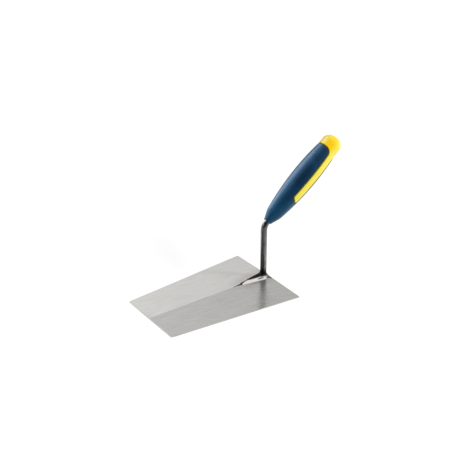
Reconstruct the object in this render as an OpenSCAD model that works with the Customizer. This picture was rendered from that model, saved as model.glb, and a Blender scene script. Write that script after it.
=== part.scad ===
// Brick trowel with a square-ended blade, a cranked round shank and a two-material handle.
// Millimetres. +X runs from the toe of the blade to its heel and on along the handle, +Z is up,
// and the origin is the middle of the blade's flat underside.

/* [Blade] */
// Length from the toe edge to the heel edge
blade_len = 180; // [140:5:240]
// Width along the toe edge
toe_w = 98; // [70:1:130]
// Width along the heel edge
heel_w = 133; // [100:1:180]
// Thickness along the centre ridge, where the two ground halves meet
ridge_t = 2; // [1.6:0.1:3]
// Thickness at the two heel corners
edge_t = 0.9; // [0.6:0.1:1.4]
// Radius of the four corners in plan
corner_r = 1.2; // [0.5:0.1:4]

/* [Shank] */
// Diameter of the round bar
bar_d = 8; // [7:0.1:9]
// Distance of the neck's axis from the heel edge
neck_set = 7.2; // [6.5:0.1:12]
// Height at which the neck's axis crosses the handle's axis
crank_z = 76; // [60:1:90]
// Bend radius at the crank, on the bar's axis
crank_r = 13.5; // [10:0.5:13.5]
// Bend radius in the throat between foot and neck, on the bar's axis
throat_r = 7.5; // [6:0.5:10]
// Length of the foot from the neck's axis to its toe end
foot_len = 38; // [32:1:46]
// Height of the foot's back above the underside, at the neck's axis
foot_h = 9.2; // [8.5:0.1:10]
// Fall of the foot's back towards the toe, in degrees
foot_fall = 8.5; // [6:0.5:11]
// Slope of the ground toe end of the foot, in degrees
foot_end_slope = 18; // [14:1:30]
// Length of tang inside the handle
tang_len = 100; // [70:1:115]
// Length of the two pressed flats that stop the tang turning
flat_len = 24; // [12:1:40]
// Thickness of the tang across its flats
flat_t = 6; // [5:0.1:6.5]
// Length of the feathered tip drawn out past the toe end of the foot
tip_len = 7.3; // [4:0.1:10]
// Half width of that tip where it leaves the foot
tip_half_w = 0.8; // [0.5:0.1:1.2]

/* [Weld] */
// Half width of the weld beside the neck
weld_half_w = 8; // [6.5:0.1:9.5]
// Half width of the weld at its toe end
weld_tip_half_w = 2; // [1.5:0.1:3]
// Slope of the two ground flanks, in degrees
flank_slope = 48; // [42:1:55]
// Width of the fillet round the back of the neck
heel_fillet_w = 3; // [1.5:0.1:3]
// Slope of that fillet, in degrees
heel_slope = 60; // [52:1:70]
// Length of the bead laid across the heel edge, behind the neck
heel_bead_len = 22; // [16:1:28]
// Height of that bead above the blade
heel_bead_h = 1.4; // [1:0.1:1.8]
// Distance of the open seam in the near flank from the toe end of the weld
seam_from = 26; // [22:0.5:28]
// Distance of that seam up the flank from the blade
seam_up = 2.8; // [2:0.1:3.4]
// Length of the open seam
seam_len = 9; // [5:0.5:10]
// Width of the open seam
seam_w = 1.1; // [0.6:0.1:1.6]

/* [Handle] */
// Angle of the handle above the blade, in degrees
handle_pitch = 38.7; // [30:0.1:48]
// Length of the handle along its axis
handle_len = 140.8; // [138:0.1:146]
// Distance from the crossing of the two axes to the front rim of the nose
nose_set = 6.5; // [6.5:0.1:12]
// Radius of the nose at its front rim
nose_r = 5.2; // [5:0.1:7]
// Length of the tapered nose
nose_len = 13; // [10:0.5:18]
// Radius where the nose meets the barrel
shoulder_r = 10.3; // [9:0.1:12]
// Largest radius of the barrel
belly_r = 15.9; // [14.5:0.1:18]
// Distance of the largest radius from the nose rim
belly_at = 79; // [70:1:90]
// Radius of the barrel at the rear end of the sleeve
rear_r = 13.3; // [12.5:0.1:13.8]
// How far the end cap's side stands out from the sleeve's rear end
cap_swell = 0.1; // [0.1:0.1:0.4]
// Radius of the round between the end cap's side and its end
cap_round_r = 10.5; // [7:0.1:11]
// Radius of the end cap's domed end
cap_end_r = 25; // [20:1:60]
// Length of the soft sleeve from the nose rim
sleeve_len = 121.8; // [118:0.1:124]
// Thickness of the soft sleeve over the core
sleeve_t = 2.6; // [1.8:0.1:3.2]

/* [Side tongues] */
// Width of each tongue of the core that shows in the sleeve
tongue_w = 11; // [8:0.1:14]
// Drop of the tongue's middle below the handle's axis
tongue_drop = 1.6; // [0:0.1:3]
// Distance from the nose rim to the sharp lower front corner of the tongue
tongue_from = 38; // [34:0.5:60]
// Rake of the tongue's front end, in degrees
tongue_rake = 26; // [0:1:35]
// Radius of the tongue's front corners
tongue_corner_r = 3.6; // [2:0.1:4]
// Radius with which the tongue flares into the end cap
flare_r = 8.5; // [4:0.5:10]
// Width of the parting groove round the tongue and the cap
groove_w = 0.6; // [0.3:0.1:1]
// Depth of the parting groove
groove_d = 0.9; // [0.4:0.1:1.4]

/* [Hidden] */

$fn = 96;
// Facets on the two long arcs of the barrel
long_fn = 900;
// Reach of cutting shapes, past every piece they cut
past = 60;
// How far the throat's bend stays inside the round of the bar
throat_inset = 0.2;
// How far bending swells the bar at the crank, and how far the straight bar runs into the bend
crank_swell = 0.05;
crank_overlap = 0.6;
// Half width of the foot's back, which the weld leaves bare
bare_half_w = 3;
// How far short of their tangent points the cap's side and end stop, so that the round meets them in edges
round_margin = 0.6;
// How far the feathered tip starts inside the foot, and its half width at the very end
tip_overlap = 3.2;
tip_end_half_w = 0.15;
// Distance of the heel bead's edge from the heel edge of the blade, and the radius of its two ends
heel_bead_margin = 0.2;
heel_bead_end_r = 0.3;

bar_r = bar_d / 2;
side_angle = atan((heel_w - toe_w) / 2 / blade_len);
neck_x = blade_len / 2 - neck_set;

// Crank: the neck is upright, so it turns through the rest of the right angle
crank_turn = 90 - handle_pitch;
crank_tangent = crank_r * tan(crank_turn / 2);
crank_start_z = crank_z - crank_tangent;

// Foot and weld, set out from the neck's axis towards the toe
foot_toe_x = neck_x - foot_len;
foot_axis_z = foot_h - bar_r / cos(foot_fall);
throat_turn = 90 - foot_fall;
throat_tangent = throat_r * tan(throat_turn / 2);
weld_angle = atan((weld_half_w - weld_tip_half_w) / foot_len);
weld_h = foot_h + bar_r;
heel_fillet_h = heel_fillet_w * tan(heel_slope);

heel_bead_x = blade_len / 2 - heel_bead_h - heel_bead_margin;

// Barrel: two arcs that share the belly's tangent
front_arc_r = arc_radius(belly_at - nose_len, belly_r - shoulder_r);
rear_arc_r = arc_radius(sleeve_len - belly_at, belly_r - rear_r);

// End cap: a round that touches the cap's side and its domed end
cap_r = rear_r + cap_swell;
round_x = cap_r - cap_round_r;
round_at = handle_len - cap_end_r + sqrt(pow(cap_end_r - cap_round_r, 2) - pow(round_x, 2));
end_half_w = round_x * cap_end_r / (cap_end_r - cap_round_r) - round_margin;

// Radius of an arc that falls by a height over a run from its top
function arc_radius(run, fall) = (pow(run, 2) + pow(fall, 2)) / (2 * fall);

// Half width of the blade at a distance along +X
function half_w(x) = toe_w / 2 + (x + blade_len / 2) * tan(side_angle);

// Centre of a corner round of the blade, on its +Y side
function corner_at(x) = [x, half_w(x) - corner_r / cos(side_angle)];

// Centre of a front corner round of the tongue, at a height across it
function tongue_centre(v) = [
    v,
    tongue_from + tongue_corner_r / cos(tongue_rake)
        + (tongue_drop + tongue_w / 2 - v) * tan(tongue_rake)
];

// Outline in plan: straight edges between four small corner rounds
module blade_plan() {
    toe_round = corner_at(corner_r - blade_len / 2);
    heel_round = corner_at(blade_len / 2 - corner_r);
    outward = corner_r * [-sin(side_angle), cos(side_angle)];
    far_edge = [
        [blade_len / 2, heel_round.y],
        heel_round + outward,
        toe_round + outward,
        [-blade_len / 2, toe_round.y]
    ];
    near_edge = [for (i = [len(far_edge) - 1:-1:0]) [far_edge[i].x, -far_edge[i].y]];
    polygon(concat(near_edge, far_edge));
    for (p = [toe_round, heel_round], side = [-1, 1])
        translate([p.x, side * p.y]) circle(corner_r);
}

// Cross-section of the blade: flat below, two ground slopes above
module blade_section() {
    polygon([
        [-heel_w / 2, 0],
        [heel_w / 2, 0],
        [heel_w / 2, edge_t],
        [0, ridge_t],
        [-heel_w / 2, edge_t]
    ]);
}

module blade_body() {
    intersection() {
        linear_extrude(ridge_t) blade_plan();
        rotate([90, 0, 90]) linear_extrude(blade_len, center = true) blade_section();
    }
}

module blade() {
    color([0.78, 0.78, 0.76]) blade_body();
}

// Places children on a ground flank: their +X along its lower edge, their Y up or down its slope
module on_flank(side) {
    translate([foot_toe_x, side * weld_tip_half_w, ridge_t])
        rotate([0, 0, side * weld_angle])
        rotate([-side * flank_slope, 0, 0])
        children();
}

// Space under one ground flank, whose lower edge follows the weld's edge in plan
module under_flank(side) {
    on_flank(side)
        translate([-past, side < 0 ? 0 : -2 * past, -2 * past])
        cube([3 * past, 2 * past, 2 * past]);
}

// Space above the blade's underside and below the ground toe end of the foot
module under_toe_end() {
    difference() {
        translate([foot_toe_x, -past, 0]) cube([2 * past, 2 * past, past]);
        translate([foot_toe_x, 0, ridge_t])
            rotate([0, -foot_end_slope, 0])
            translate([-past, -past, 0])
            cube([3 * past, 2 * past, 2 * past]);
    }
}

// What the grinder leaves of the foot and its weld
module ground_form() {
    intersection() {
        under_flank(-1);
        under_flank(1);
        under_toe_end();
    }
}

module foot_bar() {
    translate([neck_x, 0, foot_axis_z])
        rotate([0, throat_turn - 180, 0])
        cylinder(h = foot_len + bar_d, d = bar_d);
}

// Feathered tip on the blade's ridge, past the toe end of the foot
module foot_tip() {
    translate([foot_toe_x + tip_overlap, 0, ridge_t])
        rotate([0, -90, 0])
        cylinder(
            h = tip_overlap + tip_len,
            r1 = tip_half_w * (tip_overlap + tip_len) / tip_len,
            r2 = tip_end_half_w
        );
}

// Tight bend that rounds the inner corner between foot and neck
module throat_bend() {
    translate([neck_x - throat_r, 0, foot_axis_z + throat_tangent])
        rotate([90, 0, 0])
        rotate([0, 0, -throat_turn])
        rotate_extrude(angle = throat_turn)
        translate([throat_r, 0]) circle(bar_r - throat_inset);
}

module neck() {
    translate([neck_x, 0, 0]) cylinder(h = crank_start_z + crank_overlap, d = bar_d);
}

module crank_bend() {
    translate([neck_x + crank_r, 0, crank_start_z])
        rotate([90, 0, 0])
        rotate([0, 0, handle_pitch + 90])
        rotate_extrude(angle = crank_turn)
        translate([crank_r, 0]) circle(bar_r + crank_swell);
}

// Places children on the handle's axis: their +Z along it, their +X towards the underside
module on_handle_axis(along) {
    translate([neck_x, 0, crank_z])
        rotate([0, crank_turn, 0])
        translate([0, 0, along])
        children();
}

module tang() {
    start = crank_tangent - crank_overlap;
    end = nose_set + tang_len;
    difference() {
        on_handle_axis(start) cylinder(h = end - start, d = bar_d);
        for (side = [-1, 1])
            on_handle_axis(end)
                translate([side * (flat_t + bar_d) / 2, 0, 0])
                cube([bar_d, 2 * bar_d, 2 * flat_len], center = true);
    }
}

module shank_body() {
    difference() {
        union() {
            neck();
            throat_bend();
            intersection() {
                foot_bar();
                ground_form();
            }
            foot_tip();
            crank_bend();
            tang();
        }
        blade_body();
    }
}

module shank() {
    color([0.45, 0.43, 0.43]) shank_body();
}

module weld_plan() {
    polygon([
        [foot_toe_x, -weld_tip_half_w],
        [neck_x, -weld_half_w],
        [neck_x, weld_half_w],
        [foot_toe_x, weld_tip_half_w]
    ]);
}

// Fillet round the back of the neck
module heel_fillet() {
    translate([neck_x, 0, edge_t])
        cylinder(h = heel_fillet_h, r1 = bar_r + heel_fillet_w, r2 = bar_r);
}

// Bead across the heel edge: a spindle that tapers to both ends
module heel_bead() {
    half_len = heel_bead_len / 2;
    swell_r = arc_radius(half_len, heel_bead_h - heel_bead_end_r);
    translate([heel_bead_x, 0, ridge_t])
        rotate([90, 0, 0])
        rotate_extrude()
        intersection() {
            translate([heel_bead_h - swell_r, 0]) circle(swell_r, $fn = long_fn);
            translate([0, -half_len]) square([heel_bead_h, heel_bead_len]);
        }
}

// Seam that the bead leaves open low on the near flank, beside the neck
module open_seam() {
    on_flank(-1)
        translate([seam_from, seam_up, 0])
        rotate([0, 90, 0])
        cylinder(h = seam_len, d = seam_w);
}

module weld_bead() {
    color([0.86, 0.85, 0.83]) difference() {
        union() {
            intersection() {
                linear_extrude(weld_h) weld_plan();
                ground_form();
            }
            heel_fillet();
            heel_bead();
        }
        translate([foot_toe_x, -bare_half_w, 0]) cube([foot_len, 2 * bare_half_w, weld_h]);
        foot_bar();
        throat_bend();
        neck();
        blade_body();
        open_seam();
    }
}

// Region between a range along the handle's axis, for half profiles
module band(from, to) {
    translate([0, from]) square([belly_r, to - from]);
}

// Half profile of the barrel, sunk below its surface by a depth
module barrel_profile(sink, from, to) {
    intersection() {
        translate([belly_r - front_arc_r, belly_at]) circle(front_arc_r - sink, $fn = long_fn);
        band(from, belly_at);
    }
    intersection() {
        translate([belly_r - rear_arc_r, belly_at]) circle(rear_arc_r - sink, $fn = long_fn);
        band(belly_at, to);
    }
}

// Half profile of the end cap, from inside the barrel to its domed end
module cap_profile() {
    translate([0, belly_at]) square([cap_r, round_at - round_margin - belly_at]);
    intersection() {
        translate([round_x, round_at]) circle(cap_round_r);
        band(sleeve_len, handle_len);
    }
    intersection() {
        translate([0, handle_len - cap_end_r]) circle(cap_end_r);
        translate([0, round_at]) square([end_half_w, cap_end_r]);
    }
}

// Half profile of the whole handle
module handle_profile() {
    polygon([[0, 0], [nose_r, 0], [shoulder_r, nose_len], [0, nose_len]]);
    barrel_profile(0, nose_len, sleeve_len);
    cap_profile();
}

// Outline that the core shows through the sleeve, seen from the side: +Y runs along the handle.
// The inset draws every edge of it back by that much.
module window_outline(inset) {
    high = tongue_drop - tongue_w / 2;
    low = tongue_drop + tongue_w / 2;
    round_r = tongue_corner_r - inset;
    high_round = tongue_centre(high + tongue_corner_r);
    low_round = tongue_centre(low - tongue_corner_r);
    forward = round_r * [sin(tongue_rake), cos(tongue_rake)];
    rear = sleeve_len + inset;
    polygon([
        [high + inset, rear],
        [high + inset, high_round.y],
        high_round - forward,
        low_round - forward,
        [low - inset, low_round.y],
        [low - inset, rear]
    ]);
    translate(high_round) circle(round_r);
    translate(low_round) circle(round_r);
    translate([-past, rear]) square([2 * past, past]);
    difference() {
        translate([high - flare_r, sleeve_len - flare_r])
            square([tongue_w + 2 * flare_r, flare_r + inset]);
        for (x = [high - flare_r, low + flare_r])
            translate([x, sleeve_len - flare_r]) circle(flare_r + inset);
    }
}

// The outline as a cut through the handle from side to side
module window_cut(inset) {
    rotate([90, 0, 0]) linear_extrude(2 * past, center = true) window_outline(inset);
}

// Round inner body of the core, which carries the sleeve and runs on into the cap
module core_barrel() {
    rotate_extrude() barrel_profile(sleeve_t, nose_len, round_at);
}

module handle_core() {
    color([0.97, 0.82, 0.10]) difference() {
        on_handle_axis(nose_set) union() {
            core_barrel();
            intersection() {
                rotate_extrude() barrel_profile(groove_d, nose_len, round_at);
                window_cut(0);
            }
            intersection() {
                rotate_extrude() handle_profile();
                window_cut(groove_w);
            }
        }
        tang();
    }
}

module grip_sleeve() {
    color([0.08, 0.22, 0.36]) difference() {
        on_handle_axis(nose_set) difference() {
            rotate_extrude() handle_profile();
            core_barrel();
            window_cut(0);
        }
        tang();
    }
}

blade();
shank();
weld_bead();
handle_core();
grip_sleeve();
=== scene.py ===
"""Finished looks of a brick trowel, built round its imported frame.

One operator builds each piece, and one sets the stage.
"""

import math

import bmesh
import bpy
from bpy.props import FloatProperty, FloatVectorProperty, IntProperty, PointerProperty
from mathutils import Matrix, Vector, noise


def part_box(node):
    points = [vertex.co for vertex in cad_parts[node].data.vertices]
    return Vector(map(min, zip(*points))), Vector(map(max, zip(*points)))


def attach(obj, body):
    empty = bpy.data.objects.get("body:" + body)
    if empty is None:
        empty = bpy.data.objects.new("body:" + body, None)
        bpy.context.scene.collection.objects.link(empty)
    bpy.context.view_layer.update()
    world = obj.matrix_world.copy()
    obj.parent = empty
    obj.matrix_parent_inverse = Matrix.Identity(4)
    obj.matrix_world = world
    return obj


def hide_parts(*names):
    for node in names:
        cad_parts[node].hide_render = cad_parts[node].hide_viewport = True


bl_info = {
    "name": "Brick Trowel",
    "version": (1, 0, 0),
    "blender": (4, 5, 0),
    "location": "View3D > Sidebar > Trowel",
    "description": "Builds a square-ended brick trowel with finished meshes, materials and a studio",
    "category": "Add Mesh",
}

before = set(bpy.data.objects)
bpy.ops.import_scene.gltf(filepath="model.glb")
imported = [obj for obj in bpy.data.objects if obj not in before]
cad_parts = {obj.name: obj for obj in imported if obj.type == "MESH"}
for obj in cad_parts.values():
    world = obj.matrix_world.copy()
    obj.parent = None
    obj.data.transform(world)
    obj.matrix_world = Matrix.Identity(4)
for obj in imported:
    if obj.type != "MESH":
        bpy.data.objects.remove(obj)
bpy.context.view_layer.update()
BODY = "root"
MM = 0.001
BLADE_LOW, BLADE_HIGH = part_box("blade")
EASING = [math.radians(turn) for turn in (0, 30, 60, 90)]
ROLLING = [math.radians(turn) for turn in (0, 22, 44, 64, 80, 90)]
LIP_STEPS = (0.4 * MM, 0.9 * MM, 1.5 * MM)
BAR_CREASE = math.radians(50)
CREASE = math.radians(60)
HALVINGS = 40
GLOSS_RANGE = (0.3, 0.7)
FLOOR_FRONT = (-0.59, -0.81, 0)
MIDDLE, GRIP, CRANK = (0.05, 0.0, 0.07), (0.14, 0.0, 0.13), (0.09, 0.0, 0.08)
KEY_PLACE, KEY_SIZE = (1.5, -1.5, 1.5), (0.35, 0.35)
TOP_PLACE, TOP_SIZE = (-0.75, 0.9, 1.67), (1.3, 1.3)
GLEAM_PLACE, GLEAM_SIZE = (-0.30, 1.30, 0.90), (1.1, 1.6)
SIDE_PLACE, SIDE_SIZE = (-1.0, 0.55, 0.42), (0.9, 0.45)


def size(name, description, millimetres):
    """A length that a user may change, given in millimetres and kept in metres."""
    metres = millimetres * MM
    return FloatProperty(name=name, description=description, default=metres, unit="LENGTH", precision=5)


def angle(name, description, degrees):
    """An angle that a user may change, given in degrees and kept in radians."""
    return FloatProperty(name=name, description=description, default=math.radians(degrees), unit="ROTATION")


def share(name, description, value):
    """A share from 0 to 1 that a user may change."""
    return FloatProperty(name=name, description=description, default=value, min=0, max=1, subtype="FACTOR")


def power(name, description, watts):
    """A lamp's power that a user may change, in watts."""
    return FloatProperty(name=name, description=description, default=watts, min=0, unit="POWER")


def count(name, description, value):
    """A count of faces or rings that a user may change."""
    return IntProperty(name=name, description=description, default=value, min=2)


def tint(name, description, value):
    """A linear colour that a user may change."""
    return FloatVectorProperty(
        name=name, description=description, default=value, min=0, max=1, subtype="COLOR",
    )


class BladeSettings(bpy.types.PropertyGroup):
    """Sizes of the ground blade."""

    length: size("Length", "Toe edge to heel edge", (BLADE_HIGH.x - BLADE_LOW.x) / MM)
    toe_w: size("Toe width", "Width along the toe edge", 98)
    heel_w: size("Heel width", "Width along the heel edge", 133)
    ridge_t: size("Ridge thickness", "Thickness where the two ground slopes meet", BLADE_HIGH.z / MM)
    edge_t: size("Edge thickness", "Thickness at the heel corners", 0.9)
    corner_r: size("Corner radius", "Radius of the four corners in plan", 1.2)
    ease_r: size("Edge easing", "Radius that the grinder leaves along every edge", 0.22)
    wave: size("Grinding wave", "Height of the waves that grinding leaves in the slopes", 0.012)
    wave_len: size("Wave length", "Distance between those waves", 38)
    wave_in: size("Wave start", "Distance from the ridge over which those waves set in", 6)
    # This band is partly a heat tint and partly a painted shade round the foot.
    heat_and_shade_w: size("Heat width", "Width of the tinted band that welding leaves round the foot", 19)
    along_n: count("Faces along", "Faces along the blade between its corners", 72)
    across_n: count("Faces across", "Faces across the blade between its corners", 48)
    corner_n: count("Faces in half a corner", "Faces in half of each corner round", 3)


class ShankSettings(bpy.types.PropertyGroup):
    """Sizes of the cranked bar."""

    bar_d: size("Bar diameter", "Diameter of the round bar", 8)
    neck_set: size("Neck set", "Distance of the neck's axis from the heel edge", 7.2)
    crank_z: size("Crank height", "Height at which the neck's axis crosses the handle's axis", 76)
    crank_r: size("Crank radius", "Bend radius at the crank, on the bar's axis", 13.5)
    throat_r: size("Throat radius", "Bend radius between foot and neck, on the bar's axis", 7.5)
    foot_len: size("Foot length", "Length of the foot from the neck's axis to its toe end", 38)
    foot_h: size("Foot height", "Height of the foot's back at the neck's axis", 9.2)
    foot_fall: angle("Foot fall", "Fall of the foot's back towards the toe", 8.5)
    end_slope: angle("Toe end slope", "Slope of the ground toe end of the foot", 18)
    tip_len: size("Tip length", "Length of the feathered tip past the toe end", 9.4)
    tip_half_w: size("Tip half width", "Half width of that tip where it leaves the foot", 0.8)
    tip_end: size("Tip end", "Half width at the very end of the tip", 0.3)
    tip_soft: size("Tip softness", "Softness of the turn from the tip's width to the foot's", 0.4)
    toe_round: size("Toe rounding", "Length over which the toe end widens from the tip to the full foot", 3.4)
    tang_len: size("Tang length", "Length of bar inside the handle", 100)
    flat_len: size("Flat length", "Length of the pressed flats on the tang", 24)
    flat_t: size("Flat thickness", "Thickness across the pressed flats", 6)
    burnt_h: size("Burnt height", "Height above the blade up to which the weld's heat blackens the bar", 18)
    cleaned: share("Cleaned", "How much of that is cleaned off the bar's heel side", 0.85)
    sunk: size("Sunk depth", "Depth to which foot and weld run into the blade", 0.3)
    edge_soft: size("Edge softness", "Softness of the edges that grinding leaves on the foot", 0.35)
    grind_top: size("Grind height", "Height above the blade to which the flanks are ground", 3.2)
    grind_climb: size("Grind climb", "Length ahead of the neck over which the grinding climbs", 13)
    lift_from: size("Lift start", "Distance below the grind height at which the grinder lifts off", 0.2)
    lift_to: size("Lift end", "Distance above the grind height from which the bar is left round", 0.5)
    ring_n: count("Faces round", "Faces round the bar", 72)
    knee_at: count("Line of the grinding", "Line of points that follows the upper end of the ground flank", 7)
    throat_n: count("Rings in the throat", "Rings round the bend between foot and neck", 18)
    crank_n: count("Rings in the crank", "Rings round the bend between neck and tang", 20)
    flat_n: count("Rings along the flats", "Rings along the pressed flats", 6)
    step: size("Ring step", "Distance between rings along the bar", 1.1)
    foot_step: size("Foot step", "Distance between rings along the foot", 0.4)


class WeldSettings(bpy.types.PropertyGroup):
    """Sizes of the ground weld."""

    half_w: size("Half width", "Half width of the weld beside the neck", 8)
    tip_half_w: size("Tip half width", "Half width of the weld at its toe end", 2)
    start: size("Start", "Distance of the weld's first section from the toe end of the foot", 1.2)
    flank_slope: angle("Flank slope", "Slope of the two ground flanks", 48)
    fillet_w: size("Fillet width", "Width of the fillet round the back of the neck", 3)
    fillet_slope: angle("Fillet slope", "Slope of that fillet", 60)
    fillet_in: size("Fillet run-in", "Depth to which the fillet runs into the neck", 0.15)
    seam_from: size("Seam start", "Distance of the open seam from the toe end of the weld", 26)
    seam_up: size("Seam height", "Distance of the open seam up the near flank", 2.6)
    seam_len: size("Seam length", "Length of the open seam", 9)
    seam_w: size("Seam width", "Width of the open seam", 1.1)
    seam_d: size("Seam depth", "Depth of the open seam", 0.7)
    seam_wander: size("Seam wander", "How far the open seam wanders up and down", 0.5)
    seam_wander_len: size("Seam wander length", "Distance between the turns of that wander", 2.6)
    seam_ragged: share("Seam raggedness", "How much the open seam's width varies", 0.5)
    seam_ragged_len: size("Seam ragged length", "Distance between its wide and narrow places", 1.3)
    bead_len: size("Heel bead length", "Length of the bead across the heel edge", 22)
    bead_h: size("Heel bead height", "Height of that bead", 1.4)
    bead_end_h: size("Heel bead end", "Height of that bead at its ends", 0.3)
    bead_set: size("Heel bead set", "Distance of that bead's rear from the heel edge", 0.2)
    bead_ripple: share("Heel bead ripple", "Depth of that bead's ripples, as a share of its height", 0.06)
    ripple_len: size("Ripple length", "Distance between the ripples in the raw weld", 1.5)
    ripple_h: size("Ripple height", "Height of those ripples", 0.12)
    raw_swell: size("Raw swell", "How far the raw weld bulges", 0.25)
    raw_from: size("Raw start", "Distance ahead of the neck's axis at which the flanks turn raw", 3)
    raw_to: size("Raw end", "Distance behind the neck's axis at which they would be as raw as they get", 4)
    raw_flank: share("Raw flank", "How raw the flanks get", 0.6)
    burnt_from: size("Burnt start", "Distance ahead of the neck's axis at which a flank's top darkens", 12)
    burnt_to: size("Burnt end", "Distance ahead of the neck's axis at which it is black", 3)
    uneven_len: size("Uneven length", "Distance between the uneven places in the weld's faces", 1.8)
    uneven_ground: size("Uneven, ground", "Height of the unevenness in the ground faces", 0.015)
    uneven_raw: size("Uneven, raw", "Height of the unevenness in the raw faces", 0.10)
    proud: size("Skin", "How far the ground face stands in front of the foot's own", 0.09)
    proud_from: size("Skin start", "Distance from the toe end at which it stands out in full", 5)
    lap: size("Lap", "How far the weld reaches out past the foot's own edge", 0.3)
    least_w: size("Least width", "Least width of a ground flank, seen from above", 0.2)
    ridge_gap: size("Ridge gap", "Least distance of a flank's top from the middle plane", 0.3)
    step: size("Step", "Distance between sections along the weld", 0.4)
    section_n: count("Faces up", "Faces up the weld", 22)
    bead_n: count("Faces round the bead", "Faces round the heel bead", 24)


class HandleSettings(bpy.types.PropertyGroup):
    """Sizes of the two-material handle."""

    pitch: angle("Pitch", "Angle of the handle above the blade", 38.7)
    length: size("Length", "Length of the handle along its axis", 140.78)
    nose_set: size("Nose set", "Distance from the crossing of the axes to the nose rim", 6.5)
    nose_r: size("Nose radius", "Radius of the nose at its front rim", 5.2)
    nose_len: size("Nose length", "Length of the tapered nose", 13)
    nose_soft: size("Nose softness", "Softness of the turn from nose to barrel", 0.5)
    rim_ease: size("Rim easing", "Radius of the front rim's edge", 0.6)
    shoulder_r: size("Shoulder radius", "Radius where the nose meets the barrel", 10.3)
    belly_r: size("Belly radius", "Largest radius of the barrel", 15.9)
    belly_at: size("Belly place", "Distance of the largest radius from the nose rim", 79)
    rear_r: size("Rear radius", "Radius of the barrel at the sleeve's rear end", 13.3)
    cap_swell: size("Cap swell", "How far the cap's side stands out from the sleeve", 0.1)
    cap_soft: size("Cap softness", "Softness of the turn from barrel to cap", 0.15)
    cap_round_r: size("Cap round", "Radius between the cap's side and its end", 10.5)
    cap_end_r: size("Cap end", "Radius of the cap's domed end", 25)
    # The cap's deeper tone is a painted shade.
    cap_shade_step: size("Cap tone step", "Length of one step of the cap's deeper tone behind the sleeve", 5)
    sleeve_len: size("Sleeve length", "Length of the sleeve from the nose rim", 121.3)
    sleeve_t: size("Sleeve thickness", "Thickness of the sleeve over the core", 2.6)
    roll_r: size("Rolled edge", "Radius of the sleeve's edges round its windows", 1.5)
    # This rub is partly painted light, lighter on the handle's upper side.
    rub_and_light_from: size("Thumb rub start", "Distance from the nose rim up to which the sleeve is rubbed most", 8)
    rub_and_light_to: size("Thumb rub end", "Distance from the nose rim at which that rub ends", 48)
    rub_and_light_under: share("Thumb rub below", "Share of that rub on the handle's underside", 0.4)
    tongue_w: size("Tongue width", "Width of each tongue of the core", 11.3)
    tongue_drop: size("Tongue drop", "Drop of the tongue's middle below the axis", 1.45)
    tongue_from: size("Tongue start", "Distance from the nose rim to the tongue's lower front corner", 38)
    tongue_rake: angle("Tongue rake", "Rake of the tongue's front end", 26)
    tongue_corner_r: size("Tongue corner", "Radius of the tongue's front corners", 3.6)
    tongue_ease: size("Tongue easing", "Radius of the tongue's edges", 0.4)
    tongue_lip: size("Tongue lip", "Width of the strip of faces next to that easing", 0.4)
    flare_r: size("Flare radius", "Radius with which the tongue flares into the cap", 8.5)
    groove_w: size("Groove width", "Width of the parting groove", 0.6)
    groove_d: size("Groove depth", "Depth of the parting groove", 0.9)
    play: size("Play", "Clearance that keeps hidden faces of core and sleeve apart", 0.04)
    fan_at: size("Fan ring", "Distance from the nose rim to the ring where the window grid ends", 30)
    step: size("Ring step", "Distance between rings ahead of the window grid", 1.5)
    straight_n: count("Faces along an edge", "Faces along each long edge of a window", 56)
    round_n: count("Faces round a corner", "Faces round each front corner of a window", 10)
    rake_n: count("Faces across a tongue", "Faces across a tongue and round half of the cap", 28)
    flare_n: count("Faces round a flare", "Faces round each flare", 10)
    rear_n: count("Faces across the rear", "Faces across half of the sleeve's rear end", 5)
    fan_n: count("Faces in the fan", "Faces from a window's rim to the handle's top or underside", 10)
    cap_n: count("Faces over the cap", "Faces round the cap's turn to its end", 14)
    side_n: count("Rings on the cap", "Rings along the cap's side", 5)
    inner_n: count("Rings inside", "Rings along the inside of the barrel ahead of the window grid", 8)
    bore_n: count("Rings in the bore", "Rings along the bore of the nose", 6)
    socket_n: count("Rings in the socket", "Rings along the core's socket for the tang", 10)


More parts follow.
